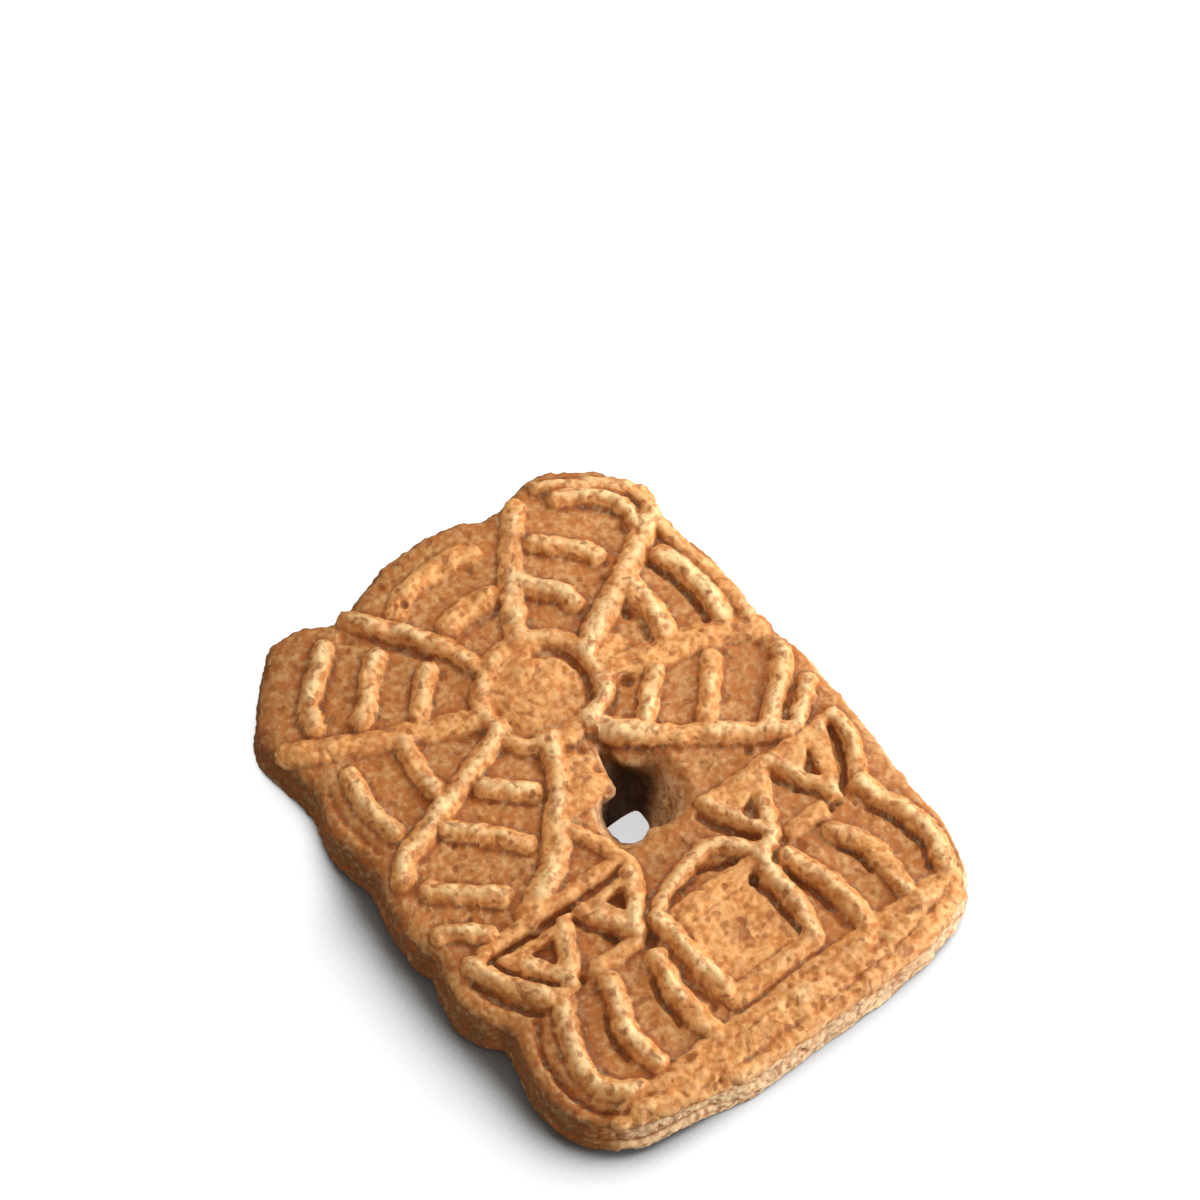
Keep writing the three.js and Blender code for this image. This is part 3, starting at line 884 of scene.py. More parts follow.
@dataclass
class Biscuit:
    """The whole biscuit as one closed surface: face, outer wall, hole and underside.

    Everything is in millimetres. `wall_zone` is the distance from the middle over which the outer
    wall's marks come in, `painted_light_facing` the way towards the light, in which the sides painted
    paler look, and a hollow, painted in shade, is a place that lies `hollow_depth` below what
    `hollow_rounds` rounds of averaging make of it.
    """

    outline: Outline = Outline(-0.9, -11.3, 26.0, 34.7, 4.7, (
        Wave(15, -1.1, 8.5), Wave(38, -1.1, 6), Wave(56, -0.4, 5), Wave(73, -2.2, 6),
        Wave(101.5, -1.6, 5.5), Wave(108, -2.4, 4), Wave(118, 0.7, 3), Wave(135, 1.2, 4),
        Wave(146.5, -1.3, 5), Wave(167, -1.0, 6.5), Wave(186, 0.45, 9), Wave(192, -0.6, 3),
        Wave(202, 1.0, 6), Wave(214, -1.8, 4), Wave(226, 1.1, 7), Wave(246, -1.15, 8),
        Wave(302, 0.4, 3), Wave(308, 1.1, 6), Wave(317, 0.7, 4),
        Wave(324, -0.45, 5), Wave(357, 0.4, 5)))
    shoulder: float = 1.7
    shoulder_waves: tuple[Wave, ...] = (Wave(20, -0.3, 40), Wave(94, 1.6, 12), Wave(127, 2.2, 14))
    section: Section = Section()
    hole_top: Outline = Outline(0.9, -15.0, 4.6, 4.1, 3.0, (
        Wave(36, 0.4, 12), Wave(62, 1.2, 14), Wave(84, 3.8, 12), Wave(124, -2.0, 15), Wave(152, -0.8, 12),
        Wave(212, 1.1, 26), Wave(300, 0.4, 16), Wave(336, -0.4, 10)))
    hole_middle: Outline = Outline(0.4, -15.3, 3.3, 3.1, 3.0, (Wave(78, 1.6, 22), Wave(130, -0.6, 24)))
    hole_bottom: Outline = Outline(-0.8, -16.2, 2.6, 2.5, 3.5, (Wave(40, 0.3, 12), Wave(332, -1.0, 22)))
    hole_lip: float = 0.8
    lattice: Lattice = Lattice()
    pattern: Pattern = Pattern()
    texture: CrumbTexture = CrumbTexture()
    cracks: tuple[Crack, ...] = (
        Crack(221, 252, 2.7, wander=0.3, depth=0.5, seed=31),
        Crack(250, 318, 4.0, wander=0.6, depth=0.16, lip=0.06, seed=33),
        Crack(285, 352, 2.9, depth=0.2, lip=0.1, seed=32),
        Crack(140, 205, 2.6, depth=0.2, lip=0.1, seed=34),
    )
    lumps: tuple[Lump, ...] = (
        Lump(2.8, -10.3, 5.2, 1.3, 1.4),
        Lump(3.8, -11.2, 4.8, 1.0, 0.7),
        Lump(1.0, -9.3, 5.0, 0.7, -0.9),
        Lump(0.8, -10.8, 4.6, 0.6, -0.8),
        Lump(4.8, -10.6, 5.4, 0.6, -0.6),
        Lump(-1.2, -12.7, 5.6, 1.0, 0.5),
        Lump(-3.0, -13.0, 6.4, 1.0, 0.3),
        Lump(-1.9, -8.6, 7.4, 0.9, 0.35),
        Lump(-0.8, -9.2, 7.0, 0.6, 0.3),
        Lump(-2.6, -10.7, 7.4, 0.8, 0.25),
        Lump(-1.4, -11.6, 7.2, 0.6, 0.4),
        Lump(-4.6, -11.9, 7.4, 0.9, 0.25),
        Lump(-0.2, -18.9, 5.2, 0.8, 0.6),
        Lump(3.8, -17.0, 5.0, 1.3, 0.4),
        Lump(5.0, -14.5, 5.6, 0.9, 0.3),
    )
    ridge_height: float = 1.3
    wall_zone: tuple[float, float] = (11.0, 14.0)
    # The way towards the light: walls and slopes that face it are painted paler, as painted light.
    painted_light_facing: tuple[float, float] = (0.5, -0.87)
    hollow_rounds: int = 14
    hollow_depth: float = 0.5
    wall_foot: float = 0.12
    wall_rows: int = 26
    shoulder_rows: int = 9
    shoulder_split: float = 0.5
    hole_rows: int = 18
    coarse_step: int = 4

    def __post_init__(self) -> None:
        """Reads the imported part: how high its ground is, and where the mould's origin lies."""
        low, high = (np.array(corner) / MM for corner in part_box("biscuit"))
        angle = np.linspace(0.0, 2.0 * np.pi, 2001)
        edge = self.outline.at(angle, self.outline.reach(angle))
        middle = (edge.min(axis=0) + edge.max(axis=0)) / 2.0
        self.move = np.append((low + high)[:2] / 2.0 - middle, low[2])
        self.ground = float(high[2] - low[2]) - self.ridge_height

    def shoulder_width(self, angle: Array) -> Array:
        """How far in from the edge the shoulder starts to fall."""
        return self.shoulder + wave_sum(self.shoulder_waves, angle)

    # The four surfaces, before anything is pressed into them.

    def face(self, level: Array, share: Array) -> Array:
        """The face: level rings of the outline, with the shoulder's fall and the hole's lip."""
        angle = self.outline.angle_at_share(share)
        width = self.shoulder_width(angle)
        slant = self.outline.slant(angle)
        split, _ = self.section.shoulder_turn(np.array(self.shoulder_split), width)
        lean = self.section.wall_inset(np.array(self.ground - self.section.drop))
        full = self.outline.reach(angle)
        places = self.outline.at(angle, level * (full - (split + lean) / slant))
        inset = split + (1.0 - level) * (full - (split + lean) / slant) * slant
        places = drawn_to_rim(places, self.lattice.hole_ring(), self.hole_top)
        fall = self.section.shoulder_height(inset, width)
        way, distance = polar(places, self.hole_top.middle)
        beyond = distance - self.hole_top.reach(way)
        lip = -self.hole_lip * np.clip(1.0 - beyond / (1.6 * self.hole_lip), 0.0, 1.0) ** 2
        return at_height(places, self.ground + fall + lip)

    def underside(self, level: Array, share: Array) -> Array:
        """The underside on the same lattice: flat, with its rim at the foot of the wall."""
        angle = self.outline.angle_at_share(share)
        slant = self.outline.slant(angle)
        reach = self.outline.reach(angle) - self.section.underside_inset / slant
        places = self.outline.at(angle, level * reach)
        return at_height(drawn_to_rim(places, self.lattice.hole_ring(), self.hole_bottom))

    def wall(self, share: Array) -> Array:
        """The outer wall below the face's edge, row by row: shoulder, wall and foot.

        Args:
            share: Share of the outline at each column.

        Returns:
            Points of shape rows, columns, 3.
        """
        angle = self.outline.angle_at_share(share)[None, :]
        width = self.shoulder_width(angle)
        turn = np.linspace(self.shoulder_split, 1.0, self.shoulder_rows + 1)[1:, None]
        inset, fall = self.section.shoulder_turn(turn, width)
        below = np.linspace(self.ground - self.section.drop, self.wall_foot,
                            self.wall_rows - self.shoulder_rows + 1)[1:, None]
        height = np.vstack([self.ground + fall + 0.0 * width, below + 0.0 * width])
        inset = np.vstack([inset, 0.0 * below + 0.0 * width]) + self.section.wall_inset(height)
        reach = self.outline.reach(angle) - inset / self.outline.slant(angle)
        places = self.outline.at(np.broadcast_to(angle, reach.shape), reach)
        return np.concatenate([places, height[..., None]], axis=-1)

    def hole_wall(self, top: Array, bottom: Array) -> Array:
        """The hole's wall between its rims, row by row.

        A column runs straight from rim to rim, and its middle is drawn to the middle outline by
        4 w (1 - w), with w the way down.

        Args:
            top: The upper rim's points.
            bottom: The lower rim's points.

        Returns:
            Points of shape rows, columns, 3.
        """
        way = np.linspace(0.0, 1.0, self.hole_rows + 1)[1:, None, None]
        way = way - 0.02 * way
        halfway = (top + bottom) / 2.0
        angle, _ = polar(halfway, self.hole_middle.middle)
        aim = self.hole_middle.at(angle, self.hole_middle.reach(angle))
        bend = at_height(aim - halfway[:, :2])
        return top + way * (bottom - top) + 4.0 * way * (1.0 - way) * bend

    # The closed mesh.

    @staticmethod
    def strip(rings: list[Array], outwards: bool) -> Array:
        """Quads between rings of nodes that run anticlockwise, each ring below the one before."""
        quads = []
        for upper, lower in zip(rings[:-1], rings[1:]):
            quad = np.column_stack([upper, lower, np.roll(lower, -1), np.roll(upper, -1)])
            quads.append(quad if outwards else quad[:, ::-1])
        return np.vstack(quads)

    def joint(self, fine: Array, coarse: Array, outwards: bool) -> Array:
        """Triangles between a fine ring and the coarse ring below it, five for each coarse side."""
        step = self.coarse_step
        f = np.stack([np.roll(fine, -k)[::step] for k in range(step + 1)])
        c0, c1 = coarse, np.roll(coarse, -1)
        fans = [(f[0], c0, f[1]), (f[1], c0, f[2]), (f[2], c0, c1), (f[2], c1, f[3]), (f[3], c1, f[4])]
        triangles = np.vstack([np.column_stack(fan) for fan in fans])
        return triangles if outwards else triangles[:, ::-1]

    def surface(self) -> tuple[Array, Array, Array, Array]:
        """The closed surface before it is pressed.

        Returns:
            Points, quads, triangles, and for each quad and then each triangle whether it is
            part of the underside.
        """
        lattice, step = self.lattice, self.coarse_step
        level, share = lattice.levels_and_shares()
        face, under = self.face(level, share), self.underside(level, share)
        edge, rim = lattice.edge_ring(), lattice.hole_ring()
        wall = self.wall(share[edge])
        hole = self.hole_wall(face[rim], under[rim])
        points = np.vstack([face, under, wall.reshape(-1, 3), hole.reshape(-1, 3)])
        wall_start, hole_start = 2 * len(face), 2 * len(face) + wall[..., 0].size
        wall_rings = [edge, *(wall_start + np.arange(wall[..., 0].size).reshape(wall.shape[:2]))]
        hole_rings = [rim, *(hole_start + np.arange(hole[..., 0].size).reshape(hole.shape[:2]))]
        quads = [lattice.cells(), self.strip(wall_rings, True), self.strip(hole_rings, False),
                 len(face) + lattice.cells(step)[:, ::-1]]
        triangles = [self.joint(wall_rings[-1], len(face) + lattice.edge_ring(step), True),
                     self.joint(hole_rings[-1], len(face) + lattice.hole_ring(step), False)]
        below = np.concatenate([np.zeros(sum(map(len, quads[:3])), bool),
                                np.ones(len(quads[3]) + sum(map(len, triangles)), bool)])
        return self.compact(points, np.vstack(quads), np.vstack(triangles), below)

    @staticmethod
    def compact(points: Array, quads: Array, triangles: Array,
                below: Array) -> tuple[Array, Array, Array, Array]:
        """Drops the points that no face uses."""
        used = np.zeros(len(points), bool)
        used[np.concatenate([quads.ravel(), triangles.ravel()])] = True
        number = np.cumsum(used) - 1
        return points[used], number[quads], number[triangles], below

    @staticmethod
    def normals(points: Array, quads: Array, triangles: Array) -> Array:
        """Normals at the points: the sum of the normals of the faces round each, at unit length."""
        total = np.zeros_like(points)
        for faces, (a, b, c, d) in ((quads, (0, 2, 1, 3)), (triangles, (0, 1, 0, 2))):
            cross = np.cross(points[faces[:, b]] - points[faces[:, a]],
                             points[faces[:, d]] - points[faces[:, c]])
            for corner in faces.T:
                np.add.at(total, corner, cross)
        return total / np.linalg.norm(total, axis=1)[:, None]

    @staticmethod
    def spread(values: Array, quads: Array, rounds: int) -> Array:
        """Values averaged with their neighbours' along the quads' sides, a number of times."""
        ends = np.vstack([quads[:, [corner, (corner + 1) % 4]] for corner in range(4)])
        count = np.bincount(ends.ravel(), minlength=len(values)) + 1.0
        for _ in range(rounds):
            total = values + np.bincount(ends[:, 0], values[ends[:, 1]], len(values))
            total = total + np.bincount(ends[:, 1], values[ends[:, 0]], len(values))
            values = total / count
        return values

    def pressed(self) -> tuple[Array, Array, Array, Array, dict[str, Array]]:
        """The finished surface: pattern, cracks, lumps and crumb pushed out along the normals.

        Returns:
            Points, quads, triangles, underside flags, and the named masks for the finish, which paint
            light and shade into its colour.
        """
        points, quads, triangles, below = self.surface()
        normals = self.normals(points, quads, triangles)
        height = points[:, 2]
        angle, distance = polar(points, self.outline.middle)
        degrees = np.degrees(angle) % 360.0
        outside = ease(distance, *self.wall_zone)
        on_face = ease(height, self.ground - 2.0, self.ground - 0.8) * ease(normals[:, 2], 0.1, 0.6)
        relief = on_face * self.pattern.relief(points[:, :2])
        on_wall = outside * (1.0 - ease(normals[:, 2], 0.35, 0.8)) * ease(height, 0.1, 0.6)
        split = sum(crack.profile(degrees, points) for crack in self.cracks) * on_wall
        lump = sum(lump.profile(points) for lump in self.lumps)
        clear_of_table = ease(height, 0.05, 0.9)
        rough = 1.0 + 0.7 * on_wall
        crumb = self.texture.profile(points) * clear_of_table * rough
        shift = relief + split + lump * clear_of_table + crumb
        finished = points + normals * shift[:, None]
        finished[:, 2] = np.maximum(finished[:, 2], 0.0)
        # The masks paint light and shade into the colour: a dip below the averaged surface is painted in
        # shade, and a hump above it takes a painted highlight.
        around = self.spread(shift, quads, self.hollow_rounds)
        # Deep in the hole the far wall is painted dark as shade, and the near wall below the rim is
        # painted paler as painted light.
        from_hole = points[:, :2] - self.hole_middle.middle
        in_hole = np.hypot(*from_hole.T) < 2.4 * self.hole_middle.half_width
        far_side = ease(from_hole[:, 1] - 0.6 * from_hole[:, 0], -2.8, 0.2)
        near_side = in_hole * (1.0 - far_side) * ease(self.ground - height, 0.3, 1.5)
        shaded = 0.1 + 0.9 * far_side
        # Walls and slopes that face the light are painted paler, as painted light, and walls that face
        # away are painted in shade.
        lean = normals[:, 0] * self.painted_light_facing[0] + normals[:, 1] * self.painted_light_facing[1]
        lit = ease(lean, -0.1, 0.7)
        painted_lit_flank = (1.0 - on_wall) * ease(lean, 0.15, 0.7)
        masks = {
            "relief": relief / self.ridge_height,
            "hollow": np.clip((around - shift) / self.hollow_depth, -1.0, 1.0),
            "depth": in_hole * ease(self.ground - height, 0.5, 3.6) * (height > 0.0) * shaded,
            "side": on_wall * (2.0 * lit - 1.0) + 0.6 * near_side + 0.5 * painted_lit_flank,
        }
        return finished, quads, triangles, below, masks

    def build(self) -> bpy.types.Object:
        """The biscuit's object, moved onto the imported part."""
        points, quads, triangles, below, masks = self.pressed()
        points = (points + self.move) * MM
        mesh = bpy.data.meshes.new("moulded_biscuit")
        mesh.vertices.add(len(points))
        mesh.vertices.foreach_set("co", points.ravel().astype(np.float32))
        corners = np.concatenate([quads.ravel(), triangles.ravel()])
        sizes = np.concatenate([np.full(len(quads), 4), np.full(len(triangles), 3)])
        mesh.loops.add(len(corners))
        mesh.loops.foreach_set("vertex_index", corners.astype(np.int32))
        mesh.polygons.add(len(sizes))
        mesh.polygons.foreach_set("loop_start", (np.cumsum(sizes) - sizes).astype(np.int32))
        mesh.polygons.foreach_set("material_index", below.astype(np.int32))
        mesh.update(calc_edges=True)
        mesh.shade_smooth()
        for name, values in masks.items():
            mesh.attributes.new(name, "FLOAT", "POINT").data.foreach_set(
                "value", values.astype(np.float32))
        mesh.validate()
        piece = placed("moulded_biscuit", mesh)
        log.info("%s: %d points, %d triangles", piece.name, len(points),
                 2 * len(quads) + len(triangles))
        return piece


# ---- Finishes --------------------------------------------------------------------------------

Socket = bpy.types.NodeSocket


def tone(red: int, green: int, blue: int) -> Colour:
    """A colour given as 0 to 255 display values, as linear light with full alpha."""
    share = np.array([red, green, blue]) / 255.0
    linear = np.where(share <= 0.04045, share / 12.92, ((share + 0.055) / 1.055) ** 2.4)
    return (*map(float, linear), 1.0)


def placed(name: str, data: bpy.types.ID) -> bpy.types.Object:
    """A new object in the scene's own collection."""
    made = bpy.data.objects.new(name, data)
    bpy.context.scene.collection.objects.link(made)
    return made


def aimed(name: str, data: bpy.types.ID, aim: Vector, away: Vector, distance: float) -> bpy.types.Object:
    """A camera or lamp that looks at a point.

    Args:
        name: The object's name.
        data: Its camera or lamp.
        aim: The point that it looks at.
        away: Direction from the point to the object, of length 1.
        distance: How far off it stands.

    Returns:
        The new object.
    """
    made = placed(name, data)
    made.location = aim + away * distance
    made.rotation_euler = away.to_track_quat("Z", "Y").to_euler()
    return made


class Wiring:
    """Adds nodes to a tree and joins them."""

    def __init__(self, tree: bpy.types.NodeTree) -> None:
        """Starts from an empty tree."""
        self.tree = tree
        tree.nodes.clear()

    def node(self, kind: str, inputs: dict[str | int, object] | None = None,
             **settings: object) -> bpy.types.Node:
        """A node with its settings made, and its inputs set or joined to other sockets."""
        made = self.tree.nodes.new(kind)
        for name, value in settings.items():
            setattr(made, name, value)
        for name, value in (inputs or {}).items():
            self.feed(made.inputs[name], value)
        return made

    def feed(self, socket: Socket, value: object) -> None:
        """Joins a socket to another one, or sets its value."""
        if isinstance(value, bpy.types.NodeSocket):
            self.tree.links.new(value, socket)
        else:
            socket.default_value = value

    def math(self, operation: str, first: object, second: object) -> Socket:
        """The result of one sum on two numbers."""
        return self.node("ShaderNodeMath", {0: first, 1: second}, operation=operation).outputs[0]

    def times(self, first: object, second: object) -> Socket:
        """The product of two numbers."""
        return self.math("MULTIPLY", first, second)

    def mix(self, share: object, first: object, second: object) -> Socket:
        """A colour between two others, by the Mix node's colour sockets, 6, 7 and 2."""
        return self.node("ShaderNodeMix", {0: share, 6: first, 7: second}, data_type="RGBA").outputs[2]

    def noise(self, vector: Socket, size: float, detail: float = 2.0, roughness: float = 0.5,
              output: str = "Fac") -> Socket:
        """Noise from 0 to 1 whose patches are about `size` millimetres wide."""
        return self.node("ShaderNodeTexNoise", {
            "Vector": vector, "Scale": 0.5 / (size * MM), "Detail": detail,
            "Roughness": roughness}).outputs[output]

    def stirred(self, vector: Socket, size: float, reach: float) -> Socket:
        """Places pushed about by noise of a size, up to a reach, both in millimetres."""
        push = self.noise(vector, size, 1.0, output="Color")
        return self.node("ShaderNodeVectorMath", {0: push, 1: (2.0 * reach * MM,) * 3, 2: vector},
                         operation="MULTIPLY_ADD").outputs["Vector"]

    def span(self, value: Socket, low: float, high: float) -> Socket:
        """A value eased from 0 at low to 1 at high."""
        return self.node("ShaderNodeMapRange", {"Value": value, "From Min": low, "From Max": high},
                         interpolation_type="SMOOTHSTEP").outputs["Result"]


class GrainGroup:
    """The fine grain of baked dough, as a node group that every crumb finish shares."""

    NAME = "fine_grain"
    COARSE_SIZE = 0.8
    PORE_SIZE = 0.5
    SPECK_GAP = 1.3

    @classmethod
    def tree(cls) -> bpy.types.NodeTree:
        """The group, made once: pale and brown grains, pores for painted shade, spice specks and their
        height.
        """
        if cls.NAME in bpy.data.node_groups:
            return bpy.data.node_groups[cls.NAME]
        tree = bpy.data.node_groups.new(cls.NAME, "ShaderNodeTree")
        wiring = Wiring(tree)
        face = tree.interface
        face.new_socket("Vector", in_out="INPUT", socket_type="NodeSocketVector")
        for name, value in (("Grain Size", 0.34), ("Speck Share", 0.12)):
            face.new_socket(name, in_out="INPUT", socket_type="NodeSocketFloat").default_value = value
        for name in ("Pale", "Brown", "Pore", "Speck", "Height"):
            face.new_socket(name, in_out="OUTPUT", socket_type="NodeSocketFloat")
        given = wiring.node("NodeGroupInput").outputs
        vector = wiring.stirred(given["Vector"], 1.2, 0.12)
        scale = wiring.math("DIVIDE", 0.5 / MM, given["Grain Size"])
        fine = wiring.node("ShaderNodeTexNoise", {
            "Vector": given["Vector"], "Scale": scale, "Detail": 1.0, "Roughness": 0.45}).outputs["Fac"]
        coarse = wiring.noise(vector, cls.COARSE_SIZE, 1.0)
        cells = wiring.node("ShaderNodeTexVoronoi", {
            "Vector": vector, "Scale": wiring.math("DIVIDE", 1.0 / MM, given["Grain Size"])})
        own = wiring.node("ShaderNodeSeparateColor", {"Color": cells.outputs["Color"]}).outputs["Red"]
        mottle = wiring.math("ADD", wiring.times(fine, 0.6), wiring.times(coarse, 0.4))
        flecked = wiring.math("ADD", mottle, wiring.times(own, 0.08))
        pore = wiring.span(wiring.noise(vector, cls.PORE_SIZE, 0.0), 0.36, 0.24)
        specks = wiring.node("ShaderNodeTexVoronoi", {
            "Vector": vector, "Scale": 1.0 / (cls.SPECK_GAP * MM)})
        number = wiring.node("ShaderNodeSeparateColor", {"Color": specks.outputs["Color"]})
        chosen = wiring.math("LESS_THAN", number.outputs["Green"], given["Speck Share"])
        speck = wiring.times(chosen, wiring.span(specks.outputs["Distance"], 0.2, 0.08))
        height = wiring.math("SUBTRACT", flecked, wiring.times(pore, 0.35))
        wiring.node("NodeGroupOutput", {
            "Pale": wiring.span(flecked, 0.48, 0.76), "Brown": wiring.span(flecked, 0.6, 0.38),
            "Pore": pore, "Speck": speck, "Height": height})
        return tree


@dataclass(frozen=True)
class CrumbFinish:
    """A baked surface: its browns, its flecks, the light and shade painted into its colour, and how rough
    it is.
    """

    name: str
    ground: Colour
    flank: Colour
    # Tones that paint light and shade: crest is a painted highlight on ridge tops, hollow and crevice are
    # painted shade in dips and creases, side is painted light on what faces the lamps, shade is painted
    # shade on walls that face away, and deep is painted shade in the hole. Hollow also tints random
    # darker patches.
    crest: Colour
    hollow: Colour
    crevice_shade: Colour
    side: Colour
    shade: Colour
    deep: Colour
    toast: Colour
    pale_grain: Colour
    spice: Colour
    grain_size: float = 0.34
    speck_share: float = 0.12
    roughness: float = 0.66
    specular: float = 0.3
    bump: float = 0.2

    def material(self) -> bpy.types.Material:
        """Brown by how the mould pressed it, with painted light and shade, then patches, pale grains,
        pores and specks.

        Each layer is a mask, how much of its tone the mask lets in at most, and that tone. The
        masks come from the mesh: relief is 0 on the ground and 1 on a ridge, whose top takes a painted
        highlight; hollow is above 0 in a dip, painted in shade, and below 0 on a hump, which takes a
        painted highlight; side is 1 on a wall or slope that faces the light, painted paler as painted
        light, and -1 on a wall that faces away, painted in shade; and depth is 1 deep in the hole,
        painted dark as shade. The pores are darkened as painted shade too.
        """
        made = bpy.data.materials.new(self.name)
        made.use_nodes = True
        wiring = Wiring(made.node_tree)
        vector = wiring.node("ShaderNodeTexCoord").outputs["Object"]
        masks = {name: wiring.node("ShaderNodeAttribute", attribute_name=name).outputs["Fac"]
                 for name in ("relief", "hollow", "depth", "side")}
        grain = wiring.node("ShaderNodeGroup", node_tree=GrainGroup.tree(), inputs={
            "Vector": vector, "Grain Size": self.grain_size,
            "Speck Share": self.speck_share}).outputs
        layers = (
            # Painted light on walls and slopes that face the lamps, and painted shade on walls that face
            # away.
            (wiring.span(masks["side"], 0.0, 1.0), 1.0, self.side),
            (wiring.span(masks["side"], 0.0, -1.0), 0.85, self.shade),
            (wiring.span(masks["relief"], 0.05, 0.4), 0.9, self.flank),
            # A painted highlight on the ridge tops.
            (wiring.span(masks["relief"], 0.72, 1.1), 0.95, self.crest),
            # A painted highlight on humps, then painted shade in dips and, darker, in creases.
            (wiring.span(masks["hollow"], -0.15, -0.9), 0.3, self.pale_grain),
            (wiring.span(masks["hollow"], 0.08, 0.5), 0.85, self.hollow),
            (wiring.span(masks["hollow"], 0.35, 0.95), 0.9, self.crevice_shade),
            (wiring.span(wiring.noise(vector, 6.0), 0.4, 0.7), 0.2, self.hollow),
            (wiring.span(wiring.noise(vector, 1.3, 2.0), 0.52, 0.3), 0.4, self.hollow),
            (grain["Brown"], 0.68, self.toast),
            (grain["Pale"], 0.34, self.pale_grain),
            # Pores, darkened as painted shade.
            (grain["Pore"], 0.62, self.hollow),
            (grain["Speck"], 0.4, self.spice),
            # Painted shade deep in the hole.
            (masks["depth"], 0.95, self.deep),
        )
        colour = self.ground
        for mask, most, layer in layers:
            colour = wiring.mix(wiring.times(mask, most), colour, layer)
        rough = wiring.math("ADD", self.roughness, wiring.times(grain["Brown"], 0.15))
        bump = wiring.node("ShaderNodeBump", {"Height": grain["Height"], "Strength": 0.8,
                                              "Distance": self.bump * MM})
        shader = wiring.node("ShaderNodeBsdfPrincipled", {
            "Base Color": colour, "Roughness": rough, "Normal": bump.outputs["Normal"],
            "Specular IOR Level": self.specular, "Subsurface Weight": 0.1,
            "Subsurface Radius": (1.0, 0.45, 0.2), "Subsurface Scale": 0.6 * MM})
        wiring.node("ShaderNodeOutputMaterial", {"Surface": shader.outputs["BSDF"]})
        return made


# In both finishes crest is a painted highlight, side painted light, and hollow, crevice, shade and deep
# painted shade; hollow also tints random darker patches, and pale_grain also gives humps a painted
# highlight.
MOULDED = CrumbFinish(
    name="moulded_crumb",
    ground=tone(184, 123, 66), flank=tone(226, 158, 90), crest=tone(240, 202, 146),
    hollow=tone(144, 78, 34), crevice_shade=tone(80, 38, 14), side=tone(240, 200, 152), shade=tone(116, 72, 40),
    deep=tone(38, 22, 12), toast=tone(176, 100, 42),
    pale_grain=tone(236, 194, 134), spice=tone(96, 56, 28))
TRAY_SIDE = CrumbFinish(
    name="tray_side_crumb",
    ground=tone(172, 112, 62), flank=tone(176, 114, 64), crest=tone(186, 124, 72),
    hollow=tone(132, 76, 38), crevice_shade=tone(96, 54, 26),
    side=tone(196, 140, 88), shade=tone(120, 76, 42), deep=tone(84, 50, 26), toast=tone(140, 84, 44),
    pale_grain=tone(210, 164, 110),
    spice=tone(80, 46, 24), speck_share=0.18, roughness=0.72)


# ---- The studio ------------------------------------------------------------------------------


@dataclass(frozen=True)
class Camera:
    """A long lens that looks down on the biscuit from beyond its lower left corner."""

    towards: Place = (-0.275, -0.361, 0.891)
    distance: float = 0.343
    lens: float = 100.0
    shift: tuple[float, float] = (0.0483, 0.0733)

    def place(self, aim: Vector) -> None:
        """Makes the scene's camera, aimed at a point."""
        data = bpy.data.cameras.new("camera")
        data.lens, data.sensor_width = self.lens, 36.0
        data.shift_x, data.shift_y = self.shift
        data.clip_start, data.clip_end = 0.01, 10.0
        away = Vector(self.towards).normalized()
        bpy.context.scene.camera = aimed("camera", data, aim, away, self.distance)


@dataclass(frozen=True)
class Lamp:
    """A soft square lamp, placed by its direction and distance from what it lights."""

    name: str
    azimuth: float
    elevation: float
    distance: float
    size: float
    power: float
    colour: tuple[float, float, float] = (1.0, 1.0, 1.0)

    def place(self, aim: Vector) -> None:
        """Makes the lamp, turned to the point that it lights."""
        data = bpy.data.lights.new(self.name, "AREA")
        data.size, data.energy, data.color = self.size, self.power, self.colour
        turn, rise = np.radians(self.azimuth), np.radians(self.elevation)
        away = Vector((np.cos(turn) * np.cos(rise), np.sin(turn) * np.cos(rise), np.sin(rise)))
        aimed(self.name, data, aim, away, self.distance).visible_camera = False


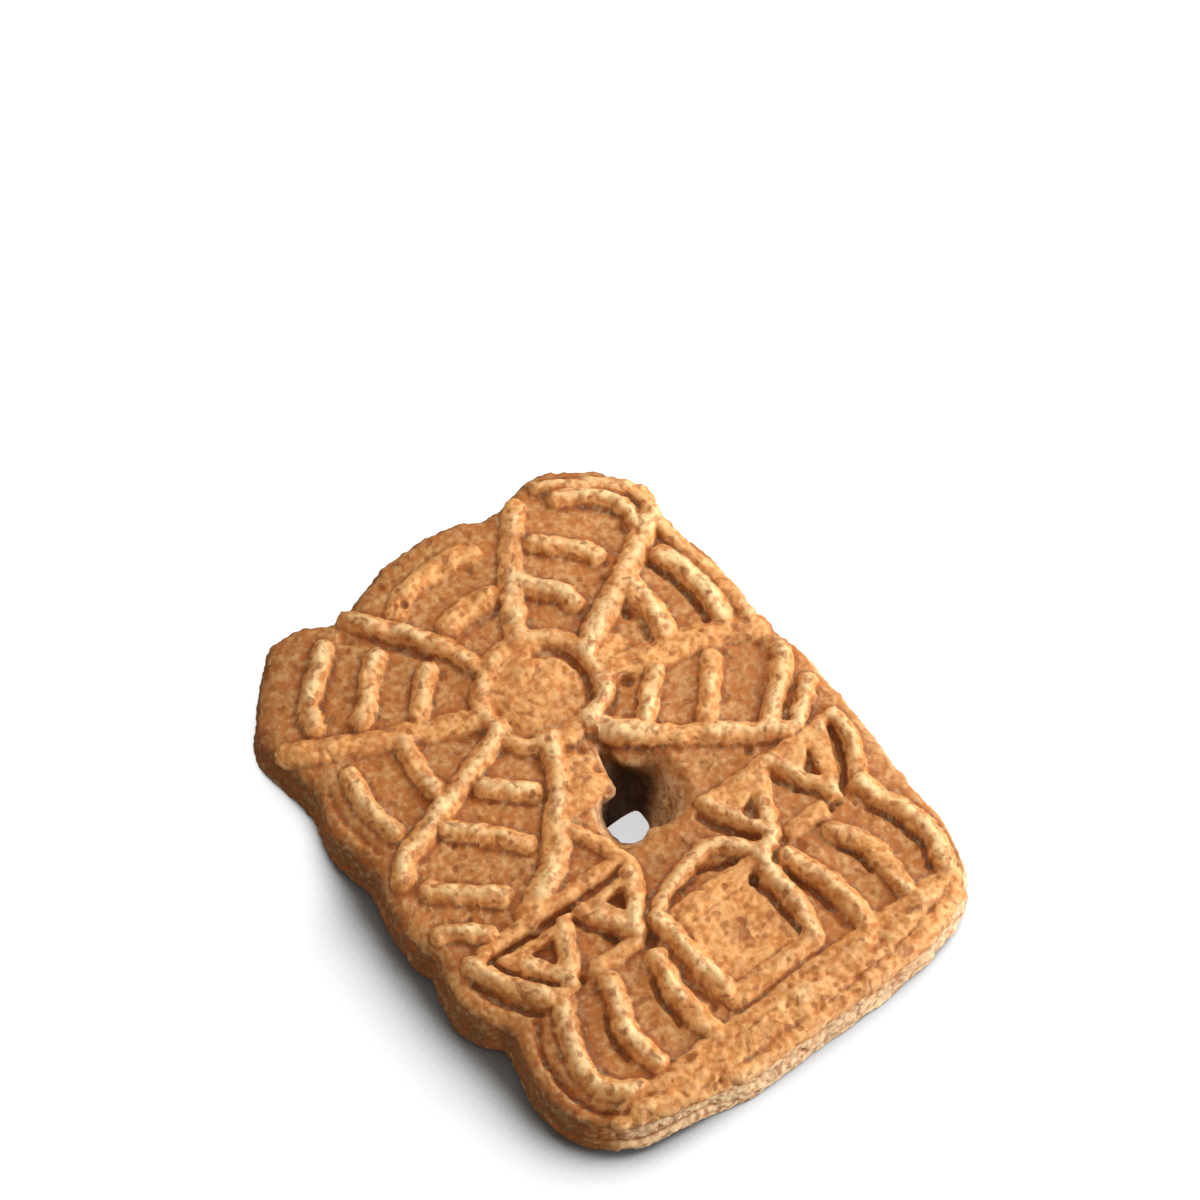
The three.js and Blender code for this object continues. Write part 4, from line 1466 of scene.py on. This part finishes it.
@dataclass(frozen=True)
class Studio:
    """A pale floor, a small key lamp from the right, a low one from the front right, and sky.

    The floor glows to the camera, though it is no lamp, and its shadow is painted into that glow:
    `shade_reach` is how far the painted shadow reaches from the biscuit, in millimetres, and
    `open_side` the side from which the light is looked for. Within `hole_patch` millimetres of the
    hole's foot the floor stays pale, as painted light.
    """

    floor_size: float = 3.0
    sky: float = 0.49
    sky_colour: Colour = (1.0, 0.94, 0.86, 1.0)
    bounce: float = 0.2
    floor_grey: float = 0.15
    glow: float = 0.95
    shade_reach: float = 40.0
    open_side: Place = (0.9, 0.28, 0.33)
    front_right: Place = (0.85, -0.5, 0.0)
    hole: Point = (0.8, -5.1)
    hole_patch: float = 4.0
    lamps: tuple[Lamp, ...] = (
        Lamp("key_lamp", 8.0, 40.0, 0.105, 0.04, 0.057, (0.88, 1.0, 1.1)),
        Lamp("front_lamp", -50.0, 13.0, 0.24, 0.12, 0.58, (0.9, 1.0, 1.13)),
        Lamp("top_lamp", 15.0, 78.0, 0.34, 0.26, 0.42, (1.0, 0.94, 0.86)),
    )
    camera: Camera = Camera()

    def floor(self) -> bpy.types.Object:
        """A plain square of floor at height 0."""
        half = self.floor_size / 2.0
        mesh = bpy.data.meshes.new("floor")
        mesh.from_pydata([(-half, -half, 0), (half, -half, 0), (half, half, 0), (-half, half, 0)],
                         [], [(0, 1, 2, 3)])
        made = placed("floor", mesh)
        mesh.materials.append(self.paper())
        return made

    def paper(self) -> bpy.types.Material:
        """A floor that glows to the camera, though it is no lamp, but throws less light back on the
        biscuit.

        Its glow carries a painted shadow: it glows less where the biscuit hides the right of the sky. It
        is painted lighter towards the front right and the far end, which leaves the painted shadow on the
        left alone.
        """
        paper = bpy.data.materials.new("floor_paper")
        paper.use_nodes = True
        wiring = Wiring(paper.node_tree)
        seen = wiring.node("ShaderNodeLightPath").outputs["Is Camera Ray"]
        place = wiring.node("ShaderNodeTexCoord").outputs["Object"]
        # The glow that is left after the painted shadow, with painted light kept under the hole.
        clear = wiring.math("MAXIMUM", self.unshaded(wiring, place), self.under_hole(wiring, place))
        colour = wiring.mix(seen, (*[self.bounce] * 3, 1.0), (*[self.floor_grey] * 3, 1.0))
        shader = wiring.node("ShaderNodeBsdfPrincipled", {
            "Base Color": colour, "Roughness": 0.9, "Specular IOR Level": 0.1,
            "Emission Color": (1.0, 1.0, 1.0, 1.0),
            "Emission Strength": wiring.times(wiring.times(seen, clear), self.glow)})
        wiring.node("ShaderNodeOutputMaterial", {"Surface": shader.outputs["BSDF"]})
        return paper

    def unshaded(self, wiring: Wiring, place: Socket) -> Socket:
        """Share of its glow that the floor keeps beside the biscuit: the painted shadow, with painted
        light to the front right.
        """
        # The painted shadow: how much of the sky round `open_side` the biscuit hides.
        open_sky = wiring.node("ShaderNodeAmbientOcclusion", {
            "Distance": self.shade_reach * MM, "Normal": self.open_side}, samples=16)
        to_front_right = wiring.node("ShaderNodeVectorMath", {
            0: place, 1: self.front_right}, operation="DOT_PRODUCT").outputs["Value"]
        to_far_end = wiring.node("ShaderNodeSeparateXYZ", {"Vector": place}).outputs["Y"]
        # Painted light: the floor glows more towards the front right and the far end, which washes out
        # the painted shadow there.
        painted_light_ramp = wiring.math("MAXIMUM", wiring.span(to_front_right, -12.0 * MM, 14.0 * MM),
                              wiring.span(to_far_end, 4.0 * MM, 20.0 * MM))
        open_share = wiring.math("ADD", open_sky.outputs["AO"], wiring.times(painted_light_ramp, 0.3))
        return wiring.span(open_share, 0.6, 0.96)

    def under_hole(self, wiring: Wiring, place: Socket) -> Socket:
        """Share of its glow that the floor keeps at least where it shows through the hole: painted light
        there.
        """
        from_hole = wiring.node("ShaderNodeVectorMath", {
            0: place, 1: (self.hole[0] * MM, self.hole[1] * MM, 0.0)},
            operation="DISTANCE").outputs["Value"]
        near = wiring.span(from_hole, (self.hole_patch + 1.0) * MM, self.hole_patch * MM)
        return wiring.times(near, 0.6)

    def light(self, aim: Vector) -> None:
        """The sky and the lamps."""
        world = bpy.data.worlds.new("studio_sky")
        world.use_nodes = True
        background = world.node_tree.nodes["Background"].inputs
        background["Color"].default_value = self.sky_colour
        background["Strength"].default_value = self.sky
        bpy.context.scene.world = world
        for lamp in self.lamps:
            lamp.place(aim)

    def build(self, aim: Vector) -> None:
        """Floor, lights and camera round a point."""
        self.floor()
        self.light(aim)
        self.camera.place(aim)
        bpy.context.scene.view_settings.view_transform = "Standard"


def main() -> None:
    """Builds the biscuit and the studio, and reports each piece."""
    logging.basicConfig(level=logging.INFO, format="%(name)s: %(message)s")
    biscuit = Biscuit()
    piece = biscuit.build()
    for finish in (MOULDED, TRAY_SIDE):
        piece.data.materials.append(finish.material())
    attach(piece, "root")
    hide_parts("biscuit")
    _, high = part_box("biscuit")
    crest = Vector((biscuit.move[0] * MM, biscuit.move[1] * MM, high.z))
    Studio().build(crest)
    log.info("studio ready, aimed at %s", tuple(round(value, 4) for value in crest))


if __name__ == "__main__":
    main()
